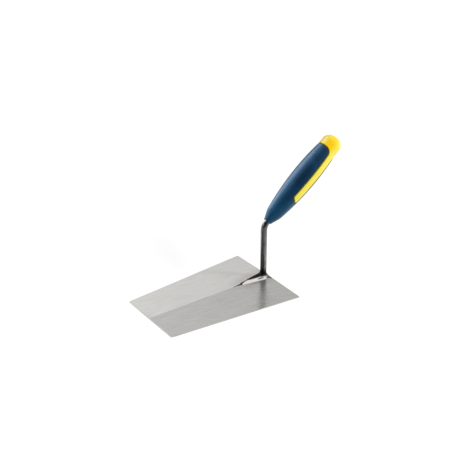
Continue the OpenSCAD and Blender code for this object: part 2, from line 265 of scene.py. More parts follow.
class FinishSettings(bpy.types.PropertyGroup):
    """Colours and gloss of the finishes, some of them with painted light and shade."""

    # The far slope's steel is painted lighter and the near slope's darker: painted light and shade of the two
    # slopes, over a real difference in their grind lines.
    blade_far_lit: tint("Blade, far slope", "Steel of the far slope, which is ground finer", (0.83, 0.822, 0.797))
    blade_near_shaded: tint("Blade, near slope", "Steel of the near slope", (0.668, 0.660, 0.641))
    blade_dull: tint("Blade, dull", "Steel in the grind lines", (0.42, 0.415, 0.40))
    blade_edge: tint("Blade, edge", "Steel of the eased edges", (0.50, 0.494, 0.48))
    # The toe edge is painted lighter: partly wear, partly painted light on the toe face.
    toe_edge_lit: tint("Toe edge", "The toe edge, worn bright", (0.88, 0.87, 0.845))
    # This tint darkens the steel round the foot: partly heat tint, partly painted shade.
    heat_tint_and_shade: tint("Heat tint", "Straw tint that welding leaves round the foot", (0.44, 0.40, 0.35))
    bar_light: tint("Bar, light", "Drawn bar steel", (0.36, 0.342, 0.345))
    bar_dark: tint("Bar, dark", "Scale in the drawn bar's streaks", (0.07, 0.065, 0.066))
    bar_sheen: tint("Bar sheen", "Tint of the bar's glancing light", (0.4, 0.385, 0.385))
    weld_bright: tint("Weld, ground", "Freshly ground weld metal", (0.94, 0.925, 0.895))
    weld_scale: tint("Weld scale", "Bar blackened by the heat of the weld", (0.014, 0.013, 0.012))
    weld_raw: tint("Weld, raw", "Raw weld metal and scale", (0.16, 0.145, 0.135))
    # Painted shade: the open seam is painted nearly black.
    weld_seam_shade: tint("Weld seam", "Soot inside the open seam", (0.02, 0.018, 0.017))
    core: tint("Core", "Yellow core plastic in the tongues", (0.875, 0.74, 0.070))
    # A painted shade: the yellow deepened on the cap's upper flanks behind the sleeve.
    core_painted_shade: tint("Core, deep", "The same plastic where it leaves the sleeve", (1.0, 0.62, 0.0))
    sleeve: tint("Sleeve", "Dark blue sleeve rubber", (0.0012, 0.018, 0.050))
    # Paler rubber on the nose: partly rubbed, partly painted light.
    sleeve_rubbed_and_lit: tint("Sleeve, rubbed", "The same rubber where hands rub it", (0.005, 0.068, 0.150))
    sleeve_sheen: tint("Sleeve sheen", "Tint of the sleeve's gloss", (0.27, 0.6, 1.0))
    # The groove's colour is partly dust and partly painted shade.
    groove_dust_and_shade: tint("Groove", "Dust and shade in the parting groove", (0.014, 0.024, 0.006))
    groove_shade: share("Groove shade", "How much of that covers the groove", 0.9)
    groove_floor: share("Groove floor", "How much of that covers the yellow floor of the groove", 0.6)
    near_lay: angle("Near lay", "Turn of the grind lines on the near slope and below", 15)
    far_lay: angle("Far lay", "Turn of the grind lines on the far slope", 7.5)
    near_lines: share("Near lines", "Strength of the grind lines on the near slope and below", 0.65)
    far_lines: share("Far lines", "Strength of the grind lines on the far slope", 0.36)
    toe_worn_and_lit: size("Toe wear", "Width of the worn strip along the toe edge", 1.5)
    blade_rough: share("Blade roughness", "Roughness of the ground blade", 0.22)
    bar_rough: share("Bar roughness", "Roughness of the drawn bar", 0.18)
    core_rough: share("Core roughness", "Roughness of the core plastic", 0.32)
    sleeve_rough: share("Sleeve roughness", "Roughness of the sleeve", 0.36)


class StageSettings(bpy.types.PropertyGroup):
    """Camera, floor and lights."""

    azimuth: angle("Azimuth", "Turn of the camera from the -Y side", -35.887)
    elevation: angle("Elevation", "Height of the camera above the horizon", 27.557)
    distance: size("Distance", "Distance of the camera from the origin, along its view", 1194.107)
    slide_right: size("Slide right", "Offset of the view to the right of the origin", 30.345)
    slide_up: size("Slide up", "Offset of the view above the origin", 77.893)
    lens_share: FloatProperty(name="Lens", description="Focal length in image widths", default=947.748 / 470)
    floor_w: size("Floor width", "Width of the floor", 6000)
    floor_gap: size("Floor gap", "Gap between the blade's underside and the floor", 0.02)
    floor_tone: share("Floor tone", "Tone of the floor as it lights the object", 0.82)
    floor_shadow: share("Floor shadow", "Tone of the floor that the object's shadow takes away", 0.20)
    key_power: power("Key power", "Power of the soft key lamp", 43)
    top_power: power("Top power", "Power of the soft lamp overhead", 12)
    gleam_power: power("Gleam power", "Power of the lamp that gloss mirrors", 18)
    side_power: power("Side power", "Power of the low lamp that nose and crank mirror", 1.8)
    world_light: share("World light", "Strength of the light from all round", 0.55)
    mirror_light: share("Mirrored light", "Strength of the surroundings seen in mirrors", 0.92)
    dark_side: share("Dark side", "Share of that light on the dark side of the studio", 0.04)
    dark_from: FloatVectorProperty(
        name="Dark from", description="Direction of the dark side",
        default=(-0.97, -0.24, 0), subtype="DIRECTION",
    )


SETTINGS = {
    "trowel_blade": BladeSettings,
    "trowel_shank": ShankSettings,
    "trowel_weld": WeldSettings,
    "trowel_handle": HandleSettings,
    "trowel_finish": FinishSettings,
    "trowel_stage": StageSettings,
}


def lerp(first, second, part):
    """Straight mix of two values."""
    return first + (second - first) * part


def between(first, second, part):
    """Point on the line between two points of a plane."""
    return lerp(first[0], second[0], part), lerp(first[1], second[1], part)


def smooth(low, high, value):
    """Smooth step from 0 at low to 1 at high."""
    part = min(max((value - low) / (high - low), 0.0), 1.0)
    return part * part * (3 - 2 * part)


def soft_min(first, second, blend):
    """The lower of two heights, with the corner between them rounded."""
    near = max(blend - abs(first - second), 0.0) / blend
    return min(first, second) - near * near * blend / 4


def soft_max(first, second, blend):
    """The higher of two heights, with the corner between them rounded."""
    return -soft_min(-first, -second, blend)


def spread(low, high, parts):
    """Evenly spaced values from low to high, both included."""
    return [lerp(low, high, i / parts) for i in range(parts + 1)]


def all_round(parts):
    """Evenly spaced turns of a full circle."""
    return [2 * math.pi * i / parts for i in range(parts)]


def arc_points(centre, radius, start, end, parts):
    """Points of a circular arc in a plane, from one angle to another in degrees."""
    turns = [math.radians(degrees) for degrees in spread(start, end, parts)]
    return [(centre[0] + radius * math.cos(turn), centre[1] + radius * math.sin(turn)) for turn in turns]


def arc_radius(run, fall):
    """Radius of an arc that falls by a height over a run from its top."""
    return (run ** 2 + fall ** 2) / (2 * fall)


def first_where(holds, low, high):
    """The value between low and high from which a test holds, found by halving."""
    for _ in range(HALVINGS):
        middle = (low + high) / 2
        if holds(middle):
            high = middle
        else:
            low = middle
    return high


def ripple(point, scale, depth):
    """Soft random height at a point."""
    return depth * noise.noise(Vector(point) / scale)


class Builder:
    """Collects a piece's mesh and turns it into an object that rides on the frame."""

    MERGE = 0.002 * MM

    def __init__(self, name, masks=()):
        self.name = name
        self.bm = bmesh.new()
        self.masks = {mask: self.bm.verts.layers.float.new(mask) for mask in masks}

    def row(self, points, **values):
        """Adds one row of vertices, each with its mask values."""
        verts = [self.bm.verts.new(point) for point in points]
        for mask, column in values.items():
            for vert, value in zip(verts, column):
                vert[self.masks[mask]] = value
        return verts

    def paint(self, mask, value_at):
        """Sets a mask on every vertex from its place."""
        for vert in self.bm.verts:
            vert[self.masks[mask]] = value_at(vert.co)

    def strip(self, first, second, closed=False):
        """Joins two rows of equal length with four-sided faces."""
        last = len(first) if closed else len(first) - 1
        for i in range(last):
            j = (i + 1) % len(first)
            corners = []
            for vert in (first[i], first[j], second[j], second[i]):
                if vert not in corners:
                    corners.append(vert)
            if len(corners) > 2:
                self.bm.faces.new(corners)

    def loft(self, rows, closed=False):
        """Joins a sequence of rows."""
        for first, second in zip(rows, rows[1:]):
            self.strip(first, second, closed)

    def cap(self, ring):
        """Closes a ring with a fan round its middle."""
        middle = self.bm.verts.new(sum((vert.co for vert in ring), Vector()) / len(ring))
        for mask in self.masks.values():
            middle[mask] = sum(vert[mask] for vert in ring) / len(ring)
        for i, vert in enumerate(ring):
            self.bm.faces.new((vert, ring[(i + 1) % len(ring)], middle))

    def tube(self, rings):
        """Joins a sequence of rings and closes both ends."""
        self.loft(rings, closed=True)
        self.cap(rings[0])
        self.cap(rings[-1])

    def mirror(self):
        """Adds a copy of everything so far on the other side of the middle plane."""
        copy = bmesh.ops.duplicate(self.bm, geom=list(self.bm.verts) + list(self.bm.faces))
        for item in copy["geom"]:
            if isinstance(item, bmesh.types.BMVert):
                item.co.y = -item.co.y

    def finish(self, node, slot, material, crease=None):
        """Cleans the mesh and makes it the piece that stands for a node."""
        bm = self.bm
        bmesh.ops.remove_doubles(bm, verts=bm.verts, dist=self.MERGE)
        bmesh.ops.dissolve_degenerate(bm, edges=bm.edges, dist=self.MERGE)
        bmesh.ops.recalc_face_normals(bm, faces=bm.faces)
        for face in bm.faces:
            face.smooth = True
        for edge in bm.edges:
            if not edge.is_manifold:
                raise RuntimeError(f"{self.name} has an open or shared edge at {edge.verts[0].co / MM}")
            if crease and edge.calc_face_angle() > crease:
                edge.smooth = False
        mesh = bpy.data.meshes.new(self.name)
        bm.to_mesh(mesh)
        bm.free()
        piece = bpy.data.objects.new(self.name, mesh)
        bpy.context.scene.collection.objects.link(piece)
        mesh.materials.append(material)
        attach(piece, BODY)
        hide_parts(node)
        return piece


class Blade:
    """Plan and height of the ground blade."""

    RIDGE_W = 0.1 * MM

    def __init__(self, sizes):
        self.sizes = sizes
        self.half_len = sizes.length / 2
        self.side = math.atan((sizes.heel_w - sizes.toe_w) / 2 / sizes.length)
        self.fall = (sizes.ridge_t - sizes.edge_t) / (sizes.heel_w / 2)

    def half_w(self, x):
        """Half width of the plan."""
        return self.sizes.toe_w / 2 + (x + self.half_len) * math.tan(self.side)

    def top(self, x, y):
        """Height of the ground slopes, with the slight wave of grinding."""
        sizes = self.sizes
        inside = 1 - abs(y) / self.half_w(x)
        wave = ripple((x, y, 0), sizes.wave_len, sizes.wave) * max(inside, 0) ** 0.5
        return sizes.ridge_t - self.fall * abs(y) + wave * smooth(0, 1, abs(y) / sizes.wave_in)

    def corner(self, x, side):
        """Centre of a corner round."""
        return (x, side * (self.half_w(x) - self.sizes.corner_r / math.cos(self.side)))

    def edges(self, inset):
        """The near, heel, far and toe edges, each from the middle of one corner round to the next."""
        sizes = self.sizes
        radius = sizes.corner_r - inset
        side = 90 + math.degrees(self.side)
        toe, heel = sizes.corner_r - self.half_len, self.half_len - sizes.corner_r
        rounds = {
            "toe_near": (self.corner(toe, -1), 180, 360 - side),
            "heel_near": (self.corner(heel, -1), 360 - side, 360),
            "heel_far": (self.corner(heel, 1), 0, side),
            "toe_far": (self.corner(toe, 1), side, 180),
        }
        halves = {}
        for name, (centre, start, end) in rounds.items():
            points = arc_points(centre, radius, start, end, 2 * sizes.corner_n)
            halves[name] = points[: sizes.corner_n + 1], points[sizes.corner_n:]

        def edge(first, second, parts):
            """One edge: half a round, a straight line and half a round."""
            line = [between(first[-1], second[0], part) for part in spread(0, 1, parts)]
            return first + line[1:-1] + second

        return (
            edge(halves["toe_near"][1], halves["heel_near"][0], sizes.along_n),
            edge(halves["heel_near"][1], halves["heel_far"][0], sizes.across_n),
            edge(halves["heel_far"][1], halves["toe_far"][0], sizes.along_n),
            edge(halves["toe_far"][1], halves["toe_near"][0], sizes.across_n),
        )

    def ring(self, inset):
        """The four edges as one closed outline."""
        near, heel, far, toe = self.edges(inset)
        return near[:-1] + heel[:-1] + far[:-1] + toe[:-1]

    def patch(self, inset):
        """Plan points over the whole blade, as rows from the near edge to the far edge."""
        near, heel, far, toe = self.edges(inset)
        far, toe = far[::-1], toe[::-1]
        rows = []
        for j in range(len(heel)):
            across = (heel[j][1] - heel[0][1]) / (heel[-1][1] - heel[0][1])
            row = []
            for i in range(len(near)):
                along = (near[i][0] - near[0][0]) / (near[-1][0] - near[0][0])
                sides = between(near[i], far[i], across)
                ends = between(toe[j], heel[j], along)
                low = between(near[0], near[-1], along)
                high = between(far[0], far[-1], along)
                shared = between(low, high, across)
                row.append((sides[0] + ends[0] - shared[0], sides[1] + ends[1] - shared[1]))
            rows.append(row)
        return rows


def build_blade(scene):
    """Ground plate with eased edges: flat below, two slopes above that meet in a ridge."""
    sizes = scene.trowel_blade
    form = Blade(sizes)
    made = Builder("blade_plate", masks=("edge", "upper", "heated_and_shaded"))
    below = [(sizes.ease_r * (1 - math.sin(turn)), sizes.ease_r * (1 - math.cos(turn))) for turn in EASING]
    above = [(drop, inset) for inset, drop in below]
    rings = []
    for inset, rise in below[1:]:
        points = [(x, y, rise) for x, y in form.ring(inset)]
        rings.append(made.row(points, edge=[1.0] * len(points)))
    for inset, drop in above[:-1]:
        points = [(x, y, form.top(x, y) - drop) for x, y in form.ring(inset)]
        rings.append(made.row(points, edge=[1.0] * len(points), upper=[1.0] * len(points)))
    made.loft([ring + ring[:1] for ring in rings])
    for height, rim, upper in ((lambda x, y: 0.0, rings[0], 0.0), (form.top, rings[-1], 1.0)):
        plan = form.patch(sizes.ease_r)
        rows = [made.row([(x, y, height(x, y)) for x, y in row], upper=[upper] * len(row)) for row in plan]
        made.loft(rows)
        near, far = rows[0], rows[-1][::-1]
        heel, toe = [row[-1] for row in rows], [row[0] for row in rows][::-1]
        outline = near[:-1] + heel[:-1] + far[:-1] + toe[:-1]
        for vert in outline:
            vert[made.masks["edge"]] = 1.0
        made.strip(outline, rim, closed=True)
    foot = Shank(scene)

    def heat_and_shade_at(place):
        """Strength of the heat tint and the painted shade on the upper face, by the distance from foot and
        weld.
        """
        if place.z < sizes.edge_t / 2:
            return 0.0
        ahead = max(foot.toe_x - place.x, 0)
        beside = max(abs(place.y) - foot.weld_w(place.x), 0) if not ahead else abs(place.y)
        return smooth(sizes.heat_and_shade_w, 0, math.hypot(ahead, beside))

    made.paint("heated_and_shaded", heat_and_shade_at)
    piece = made.finish("blade", "blade_steel", blade_steel(scene))
    ridge = set()
    for vert in piece.data.vertices:
        if abs(vert.co.y) < form.RIDGE_W and vert.co.z > sizes.edge_t:
            ridge.add(vert.index)
    for edge in piece.data.edges:
        if set(edge.vertices) <= ridge:
            edge.use_edge_sharp = True
    return piece


class Shank:
    """Path and sections of the cranked bar, and the planes to which its foot is ground."""

    # SKIN is the foot's least height above the blade. Cosines and sines up to LEVEL count as 0.
    SKIN = 0.02 * MM
    LEVEL = 1e-4
    # The toe end starts to widen here, counted from the toe end in lengths of its rounding.
    TOE_START = -0.3
    # The line of the grinding stays between these shares of the foot's half width.
    LINE_WITHIN = (0.1, 0.93)
    # Ranges over which the bright mask sets in below the back and the toe end, and ends at the lift-off.
    BRIGHT_BACK = (-0.1 * MM, 0.25 * MM)
    BRIGHT_TOE = (0.0, 0.4 * MM)
    BRIGHT_LIFT = (0.25, 0.0)
    # Range over which the cleaning sets in, in radii behind the neck's axis.
    CLEANED = (0.1, 0.9)

    def __init__(self, scene):
        self.sizes = sizes = scene.trowel_shank
        self.weld = scene.trowel_weld
        self.blade = Blade(scene.trowel_blade)
        self.pitch = scene.trowel_handle.pitch
        self.nose_set = scene.trowel_handle.nose_set
        self.radius = sizes.bar_d / 2
        self.neck_x = scene.trowel_blade.length / 2 - sizes.neck_set
        self.toe_x = self.neck_x - sizes.foot_len
        self.roof = scene.trowel_blade.ridge_t
        self.foot_axis_z = sizes.foot_h - self.radius / math.cos(sizes.foot_fall)
        self.weld_turn = math.atan((self.weld.half_w - self.weld.tip_half_w) / sizes.foot_len)
        self.flank_rise = math.cos(self.weld_turn) * math.tan(self.weld.flank_slope)
        throat_turn = math.pi / 2 - sizes.foot_fall
        self.pivot_x = self.neck_x - sizes.throat_r
        self.pivot_z = self.foot_axis_z + sizes.throat_r * math.tan(throat_turn / 2)
        self.crank_turn = math.pi / 2 - self.pitch
        self.crank_tangent = sizes.crank_r * math.tan(self.crank_turn / 2)

    def weld_w(self, x):
        """Half width of the weld's footprint."""
        return self.weld.tip_half_w + (x - self.toe_x) * math.tan(self.weld_turn)

    def axis_z(self, x):
        """Height of the foot's axis."""
        return self.foot_axis_z - (self.neck_x - x) * math.tan(self.sizes.foot_fall)

    def back_z(self, x, y):
        """Height of the foot's round back."""
        inside = max(1 - (y / self.radius) ** 2, 0.0)
        return self.axis_z(x) + self.radius / math.cos(self.sizes.foot_fall) * math.sqrt(inside)

    def flank_z(self, x, y):
        """Height of the ground flanks."""
        return self.roof + (self.weld_w(x) - abs(y)) * self.flank_rise

    def flank_y(self, x, z):
        """Distance from the middle plane at which a ground flank has a height."""
        return self.weld_w(x) - (z - self.roof) / self.flank_rise

    def toe_z(self, x):
        """Height of the ground toe end."""
        return self.roof + (x - self.toe_x) * math.tan(self.sizes.end_slope)

    def tip_w(self, x):
        """Half width of the feathered tip."""
        sizes = self.sizes
        full = sizes.tip_half_w / sizes.tip_len * (x - self.toe_x + sizes.tip_len)
        return max(full, sizes.tip_end)

    def toe_share(self, x):
        """Share of the full width that the rounded toe end has."""
        return smooth(self.TOE_START, 1, (x - self.toe_x) / self.sizes.toe_round)

    def foot_w(self, x):
        """Half width of the foot's own surface."""
        sizes = self.sizes
        grown = min(self.weld_w(x) - self.weld.lap, self.radius) * self.toe_share(x)
        return soft_max(self.tip_w(min(x, self.toe_x + sizes.toe_round)), grown, sizes.tip_soft)

    def grind_z(self, x):
        """Height up to which the flanks are ground: even along the foot, higher beside the neck."""
        beside = (self.weld.half_w - self.radius) * self.flank_rise
        climb = smooth(self.neck_x - self.sizes.grind_climb, self.neck_x, x)
        return self.roof + lerp(self.sizes.grind_top, beside, climb)

    def grind_y(self, x):
        """Distance from the middle plane at which the grinding of a flank stops."""
        return self.flank_y(x, self.grind_z(x))

    def foot_top(self, x, y):
        """Height of the foot's surface, and how much of it is a bright ground face."""
        sizes = self.sizes
        back, flank, toe = self.back_z(x, y), self.flank_z(x, y), self.toe_z(x)
        spared = smooth(-sizes.lift_from, sizes.lift_to, flank - self.grind_z(x))
        cut = lerp(flank, max(back, flank) + MM, spared)
        ground = soft_min(soft_min(back, cut, sizes.edge_soft), toe, sizes.edge_soft)
        tip = self.tip_w(x)
        feather = self.roof + math.sqrt(max(tip * tip - y * y, 0.0))
        top = max(ground, feather, self.blade.top(x, y) + self.SKIN)
        bright = smooth(*self.BRIGHT_BACK, back - flank) * smooth(*self.BRIGHT_TOE, toe - flank)
        return top, bright * smooth(*self.BRIGHT_LIFT, spared)

    def foot_ring(self, x, turns):
        """One section of the foot: its surface above, and a flat sunk into the blade below."""
        wide = self.foot_w(x)
        least, most = self.LINE_WITHIN
        stop = min(max(self.grind_y(x), least * wide), most * wide)
        knee = math.cos(turns[self.sizes.knee_at])
        points, bright = [], []
        for turn in turns:
            part = abs(math.cos(turn))
            inside = stop * part / knee
            outside = stop + (wide - stop) * (part - knee) / (1 - knee)
            y = math.copysign(inside if part < knee else outside, math.cos(turn))
            top, mask = self.foot_top(x, y)
            low = self.blade.top(x, y) - self.sizes.sunk
            points.append((x, y, top if math.sin(turn) >= 0 else low))
            bright.append(mask if math.sin(turn) >= 0 else 0.0)
        return points, bright

    def throat_ring(self, swing, turns):
        """One section of the heel block, which swings from the foot's last section to the neck's first."""
        sizes = self.sizes
        reach = []
        if math.cos(swing) > self.LEVEL:
            reach.append((sizes.throat_r + self.radius) / math.cos(swing))
        if math.sin(swing) > self.LEVEL:
            reach.append((self.pivot_z - self.roof + sizes.sunk) / math.sin(swing))
        outer = min(reach) - sizes.throat_r
        points = []
        for turn in turns:
            depth = sizes.throat_r - math.sin(turn) * (self.radius if math.sin(turn) >= 0 else outer)
            points.append((
                self.pivot_x + depth * math.cos(swing),
                self.radius * math.cos(turn),
                self.pivot_z - depth * math.sin(swing),
            ))
        return points

    def bar_ring(self, centre, outward, turns, flat=None):
        """One round section of the bar, pressed flat where a thickness is given."""
        points = []
        for turn in turns:
            out = self.radius * math.sin(turn)
            if flat:
                out = math.copysign(min(abs(out), flat / 2), out)
            aside = Vector((0, self.radius * math.cos(turn), 0))
            points.append(Vector(centre) + out * Vector(outward) + aside)
        return points

    def neck_rings(self, turns):
        """Sections up the straight neck."""
        bend_z = self.sizes.crank_z - self.crank_tangent
        heights = spread(self.pivot_z, bend_z, int((bend_z - self.pivot_z) / self.sizes.step))
        return [self.bar_ring((self.neck_x, 0, z), (-1, 0, 0), turns) for z in heights]

    def crank_rings(self, turns):
        """Sections round the crank."""
        sizes = self.sizes
        hub = Vector((self.neck_x + sizes.crank_r, 0, sizes.crank_z - self.crank_tangent))
        rings = []
        for bend in spread(0, self.crank_turn, sizes.crank_n):
            outward = Vector((-math.cos(bend), 0, math.sin(bend)))
            rings.append(self.bar_ring(hub + sizes.crank_r * outward, outward, turns))
        return rings

    def tang_rings(self, turns):
        """Sections from the end of the crank to the blind end of the tang."""
        sizes = self.sizes
        along = Vector((math.cos(self.pitch), 0, math.sin(self.pitch)))
        outward = (-math.sin(self.pitch), 0, math.cos(self.pitch))
        corner = Vector((self.neck_x, 0, sizes.crank_z))
        end = self.nose_set + sizes.tang_len
        flat_from = end - sizes.flat_len
        parts = int((flat_from - self.crank_tangent) / (2 * sizes.step))
        stations = spread(self.crank_tangent, flat_from, parts)
        rings = [self.bar_ring(corner + at * along, outward, turns) for at in stations]
        for at in spread(flat_from, end, sizes.flat_n):
            rings.append(self.bar_ring(corner + at * along, outward, turns, sizes.flat_t))
        return rings

    def burnt_at(self, place):
        """How black the weld's heat leaves the bar, less on the cleaned heel side."""
        sizes = self.sizes
        burnt = smooth(self.roof + sizes.burnt_h, self.roof + sizes.throat_r, place.z)
        cleaned = smooth(*self.CLEANED, (place.x - self.neck_x) / self.radius)
        return burnt * (1 - sizes.cleaned * cleaned)


def build_shank(scene):
    """One bar: feathered tip, ground foot, throat, neck, crank and tang."""
    form = Shank(scene)
    sizes = form.sizes
    made = Builder("shank_bar", masks=("ground", "along", "burnt"))
    turns = all_round(sizes.ring_n)
    tip_from = form.toe_x - sizes.tip_len
    foot = spread(tip_from, form.pivot_x, int((form.pivot_x - tip_from) / sizes.foot_step))
    sections = [form.foot_ring(x, turns) for x in foot]
    plain = [form.throat_ring(swing, turns) for swing in spread(math.pi / 2, 0, sizes.throat_n)[1:]]
    plain += form.neck_rings(turns)[1:] + form.crank_rings(turns)[1:] + form.tang_rings(turns)[1:]
    sections += [(points, [0.0] * len(points)) for points in plain]
    rings, travel, last = [], 0.0, None
    for points, bright in sections:
        middle = sum((Vector(point) for point in points), Vector()) / len(points)
        travel += (middle - last).length if last else 0.0
        last = middle
        rings.append(made.row(points, ground=bright, along=[travel] * len(points)))
    made.tube(rings)
    made.paint("burnt", form.burnt_at)
    return made.finish("shank", "bar_steel", bar_steel(scene), BAR_CREASE)


class Weld:
    """Sections of the weld, along one flank, round the back of the neck and along the other flank."""

    # The weld's outer edge lies no more than this below the ridge.
    BASE_DROP = 0.1 * MM
    # The skin stands out in full from one part in this many up the face.
    SKIN_RISE = 4
    # Lean of the ripples in the weld and in the heel bead, in ripple lengths.
    CHEVRON = 0.6
    CREST_LEAN = 0.35
    # Squared distances from the seam's middle, in half sizes, at which it starts and is full.
    SEAM_EDGE = (1.25, 0.35)
    SEAM_SEED = 0.1
    # Shares of the way up a face, and cosines of the turn round the neck, between which it turns black.
    BURNT_UP = (0.60, 0.80)
    BURNT_BACK = (0.7, 0.2)
    # Ring step of the heel bead, in steps of the weld.
    BEAD_STEP = 0.7
    # Offsets of the hidden faces, inward from the top edge or the toe, and their drop below the top.
    HIDDEN_TOP = (0.25 * MM, 0.35 * MM)
    HIDDEN_IN = (0.3 * MM, 0.2 * MM, 0.15 * MM)
    HIDDEN_MIDDLE = 0.45

    def __init__(self, scene):
        self.sizes = scene.trowel_weld
        self.shank = Shank(scene)

    def stations(self):
        """Places along the weld: (side, x) on a flank, or (0, turn) round the neck."""
        sizes, shank = self.sizes, self.shank
        start = shank.toe_x + sizes.start
        flank = spread(start, shank.neck_x, int((shank.neck_x - start) / sizes.step))
        half_round = math.pi * (shank.radius + sizes.fillet_w)
        back = spread(-math.pi / 2, math.pi / 2, int(half_round / sizes.step))
        near, far = [(-1, x) for x in flank], [(1, x) for x in flank[::-1]]
        return near + [(0, turn) for turn in back[1:-1]] + far

    def top_y(self, x):
        """Distance from the middle plane at which a flank's ground face meets the foot's bare back."""
        shank = self.shank

        def ground(y):
            """Whether the foot's back is ground away here."""
            return shank.back_z(x, y) > min(shank.flank_z(x, y), shank.toe_z(x))

        return first_where(ground, 0.0, shank.radius)

    def flank_section(self, side, x):
        """Outer toe, inward direction, width and height of a section across a flank."""
        sizes, shank = self.sizes, self.shank
        outer_y = shank.weld_w(x) * shank.toe_share(x)
        crease_y = shank.flank_y(x, shank.toe_z(x))
        top_y = max(self.top_y(x), shank.grind_y(x), crease_y, sizes.ridge_gap)
        top_y = min(top_y, outer_y - sizes.least_w)
        height = min(shank.flank_z(x, top_y), shank.toe_z(x)) - shank.roof
        outer = Vector((x, side * outer_y, 0))
        return outer, Vector((0, -side, 0)), outer_y - top_y, height

    def back_section(self, turn):
        """The same for a section through the fillet round the back of the neck."""
        sizes, shank = self.sizes, self.shank
        behind = math.cos(turn) ** 2
        wide = lerp(sizes.half_w - shank.radius, sizes.fillet_w, behind)
        slope = lerp(math.atan(shank.flank_rise), sizes.fillet_slope, behind)
        out = Vector((math.cos(turn), math.sin(turn), 0))
        outer = Vector((shank.neck_x, 0, 0)) + (shank.radius + wide) * out
        wide += sizes.fillet_in
        return outer, -out, wide, wide * math.tan(slope)

    def seam_at(self, x, up):
        """Depth of the open seam at a place on the near flank, and its painted shade, as a share."""
        sizes, shank = self.sizes, self.shank
        half_len = sizes.seam_len / 2
        along = (x - shank.toe_x) / math.cos(shank.weld_turn) - sizes.seam_from - half_len
        across = up - sizes.seam_up - ripple((x, 0, 0), sizes.seam_wander_len, sizes.seam_wander)
        ragged = ripple((x, self.SEAM_SEED, 0), sizes.seam_ragged_len, sizes.seam_ragged)
        half_w = sizes.seam_w / 2 * (1 + ragged)
        return smooth(*self.SEAM_EDGE, (along / half_len) ** 2 + (across / half_w) ** 2)

    def wear(self, side, place):
        """How raw and how burnt a section is, and how far its skin stands out."""
        sizes, shank = self.sizes, self.shank
        if not side:
            raw = lerp(sizes.raw_flank, 1.0, math.cos(place))
            return raw, smooth(*self.BURNT_BACK, math.cos(place)), sizes.proud
        raw = smooth(shank.neck_x - sizes.raw_from, shank.neck_x + sizes.raw_to, place) * sizes.raw_flank
        burnt = smooth(shank.neck_x - sizes.burnt_from, shank.neck_x - sizes.burnt_to, place)
        full = smooth(shank.toe_x + sizes.start, shank.toe_x + sizes.proud_from, place)
        return raw, burnt, lerp(-sizes.proud, sizes.proud, full)

    def section(self, side, place, travel):
        """Points and masks of one closed section."""
        sizes, shank = self.sizes, self.shank
        outer, inward, wide, height = self.flank_section(side, place) if side else self.back_section(place)
        raw, burnt, proud = self.wear(side, place)
        slope = math.atan2(height, wide)
        normal = Vector((0, 0, math.cos(slope))) - inward * math.sin(slope)
        length = math.hypot(wide, height)
        uneven = lerp(sizes.uneven_ground, sizes.uneven_raw, raw)
        points, seam_mask, burnt_mask = [], [], []
        for part in spread(0, 1, sizes.section_n):
            base = outer + inward * (wide * part)
            ground = max(shank.roof - self.BASE_DROP, shank.blade.top(base.x, base.y))
            belly = math.sin(math.pi * part)
            wave = math.sin(2 * math.pi * (travel / sizes.ripple_len - self.CHEVRON * belly))
            lift = raw * (sizes.raw_swell + sizes.ripple_h * wave)
            lift += ripple(base + Vector((0, 0, part * height)), sizes.uneven_len, uneven)
            lift = lift * belly + proud * min(1, self.SKIN_RISE * part)
            seam = self.seam_at(base.x, length * part) if side < 0 else 0.0
            point = Vector((base.x, base.y, ground + height * part))
            points.append(point + normal * (lift - sizes.seam_d * seam))
            seam_mask.append(seam)
            burnt_mask.append(burnt * smooth(*self.BURNT_UP, part))
        hidden = self.hidden_points(points[-1], outer, inward)
        blank = [0.0] * len(hidden)
        masks = {"seam": seam_mask + blank, "burnt": burnt_mask + blank}
        masks["raw"] = [raw] * (len(points) + len(hidden))
        return points + hidden, masks

    def hidden_points(self, top, outer, inward):
        """Rest of a section, inside the foot and the blade: from the top edge down and out to the toe."""
        floor = self.shank.roof - self.shank.sizes.sunk
        step_in, drop = self.HIDDEN_TOP
        upper, lower, toe = self.HIDDEN_IN
        return [
            top + inward * step_in - Vector((0, 0, drop)),
            Vector((top.x, top.y, lerp(floor, top.z, self.HIDDEN_MIDDLE))) + inward * upper,
            Vector((top.x, top.y, floor)) + inward * lower,
            Vector((outer.x, outer.y, floor)) + inward * toe,
        ]

    def bead_rings(self, turns):
        """Rings of the raw bead laid across the heel edge."""
        sizes, shank = self.sizes, self.shank
        half = sizes.bead_len / 2
        swell = arc_radius(half, sizes.bead_h - sizes.bead_end_h)
        middle_x = shank.neck_x + shank.sizes.neck_set - sizes.bead_h - sizes.bead_set
        rings = []
        for y in spread(-half, half, int(sizes.bead_len / (self.BEAD_STEP * sizes.step))):
            radius = sizes.bead_h - swell + math.sqrt(swell ** 2 - y ** 2)
            ring = []
            for turn in turns:
                crest = math.sin(2 * math.pi * (y / sizes.ripple_len + self.CREST_LEAN * math.sin(turn)))
                out = radius * (1 + sizes.bead_ripple * (crest - 1))
                ring.append((middle_x + out * math.cos(turn), y, shank.roof + out * math.sin(turn)))
            rings.append(ring)
        return rings


def build_weld(scene):
    """Weld round the foot, ground bright on both flanks and left raw behind the neck."""
    form = Weld(scene)
    made = Builder("weld_run", masks=("raw", "seam", "burnt"))
    rings, travel, last = [], 0.0, None
    for side, place in form.stations():
        outer = form.flank_section(side, place)[0] if side else form.back_section(place)[0]
        travel += (outer - last).length if last else 0.0
        last = outer
        points, masks = form.section(side, place, travel)
        rings.append(made.row(points, **masks))
    made.tube(rings)
    bead = form.bead_rings(all_round(form.sizes.bead_n))
    made.tube([made.row(points, raw=[1.0] * len(points)) for points in bead])
    return made.finish("weld_bead", "weld_steel", weld_steel(scene), CREASE)


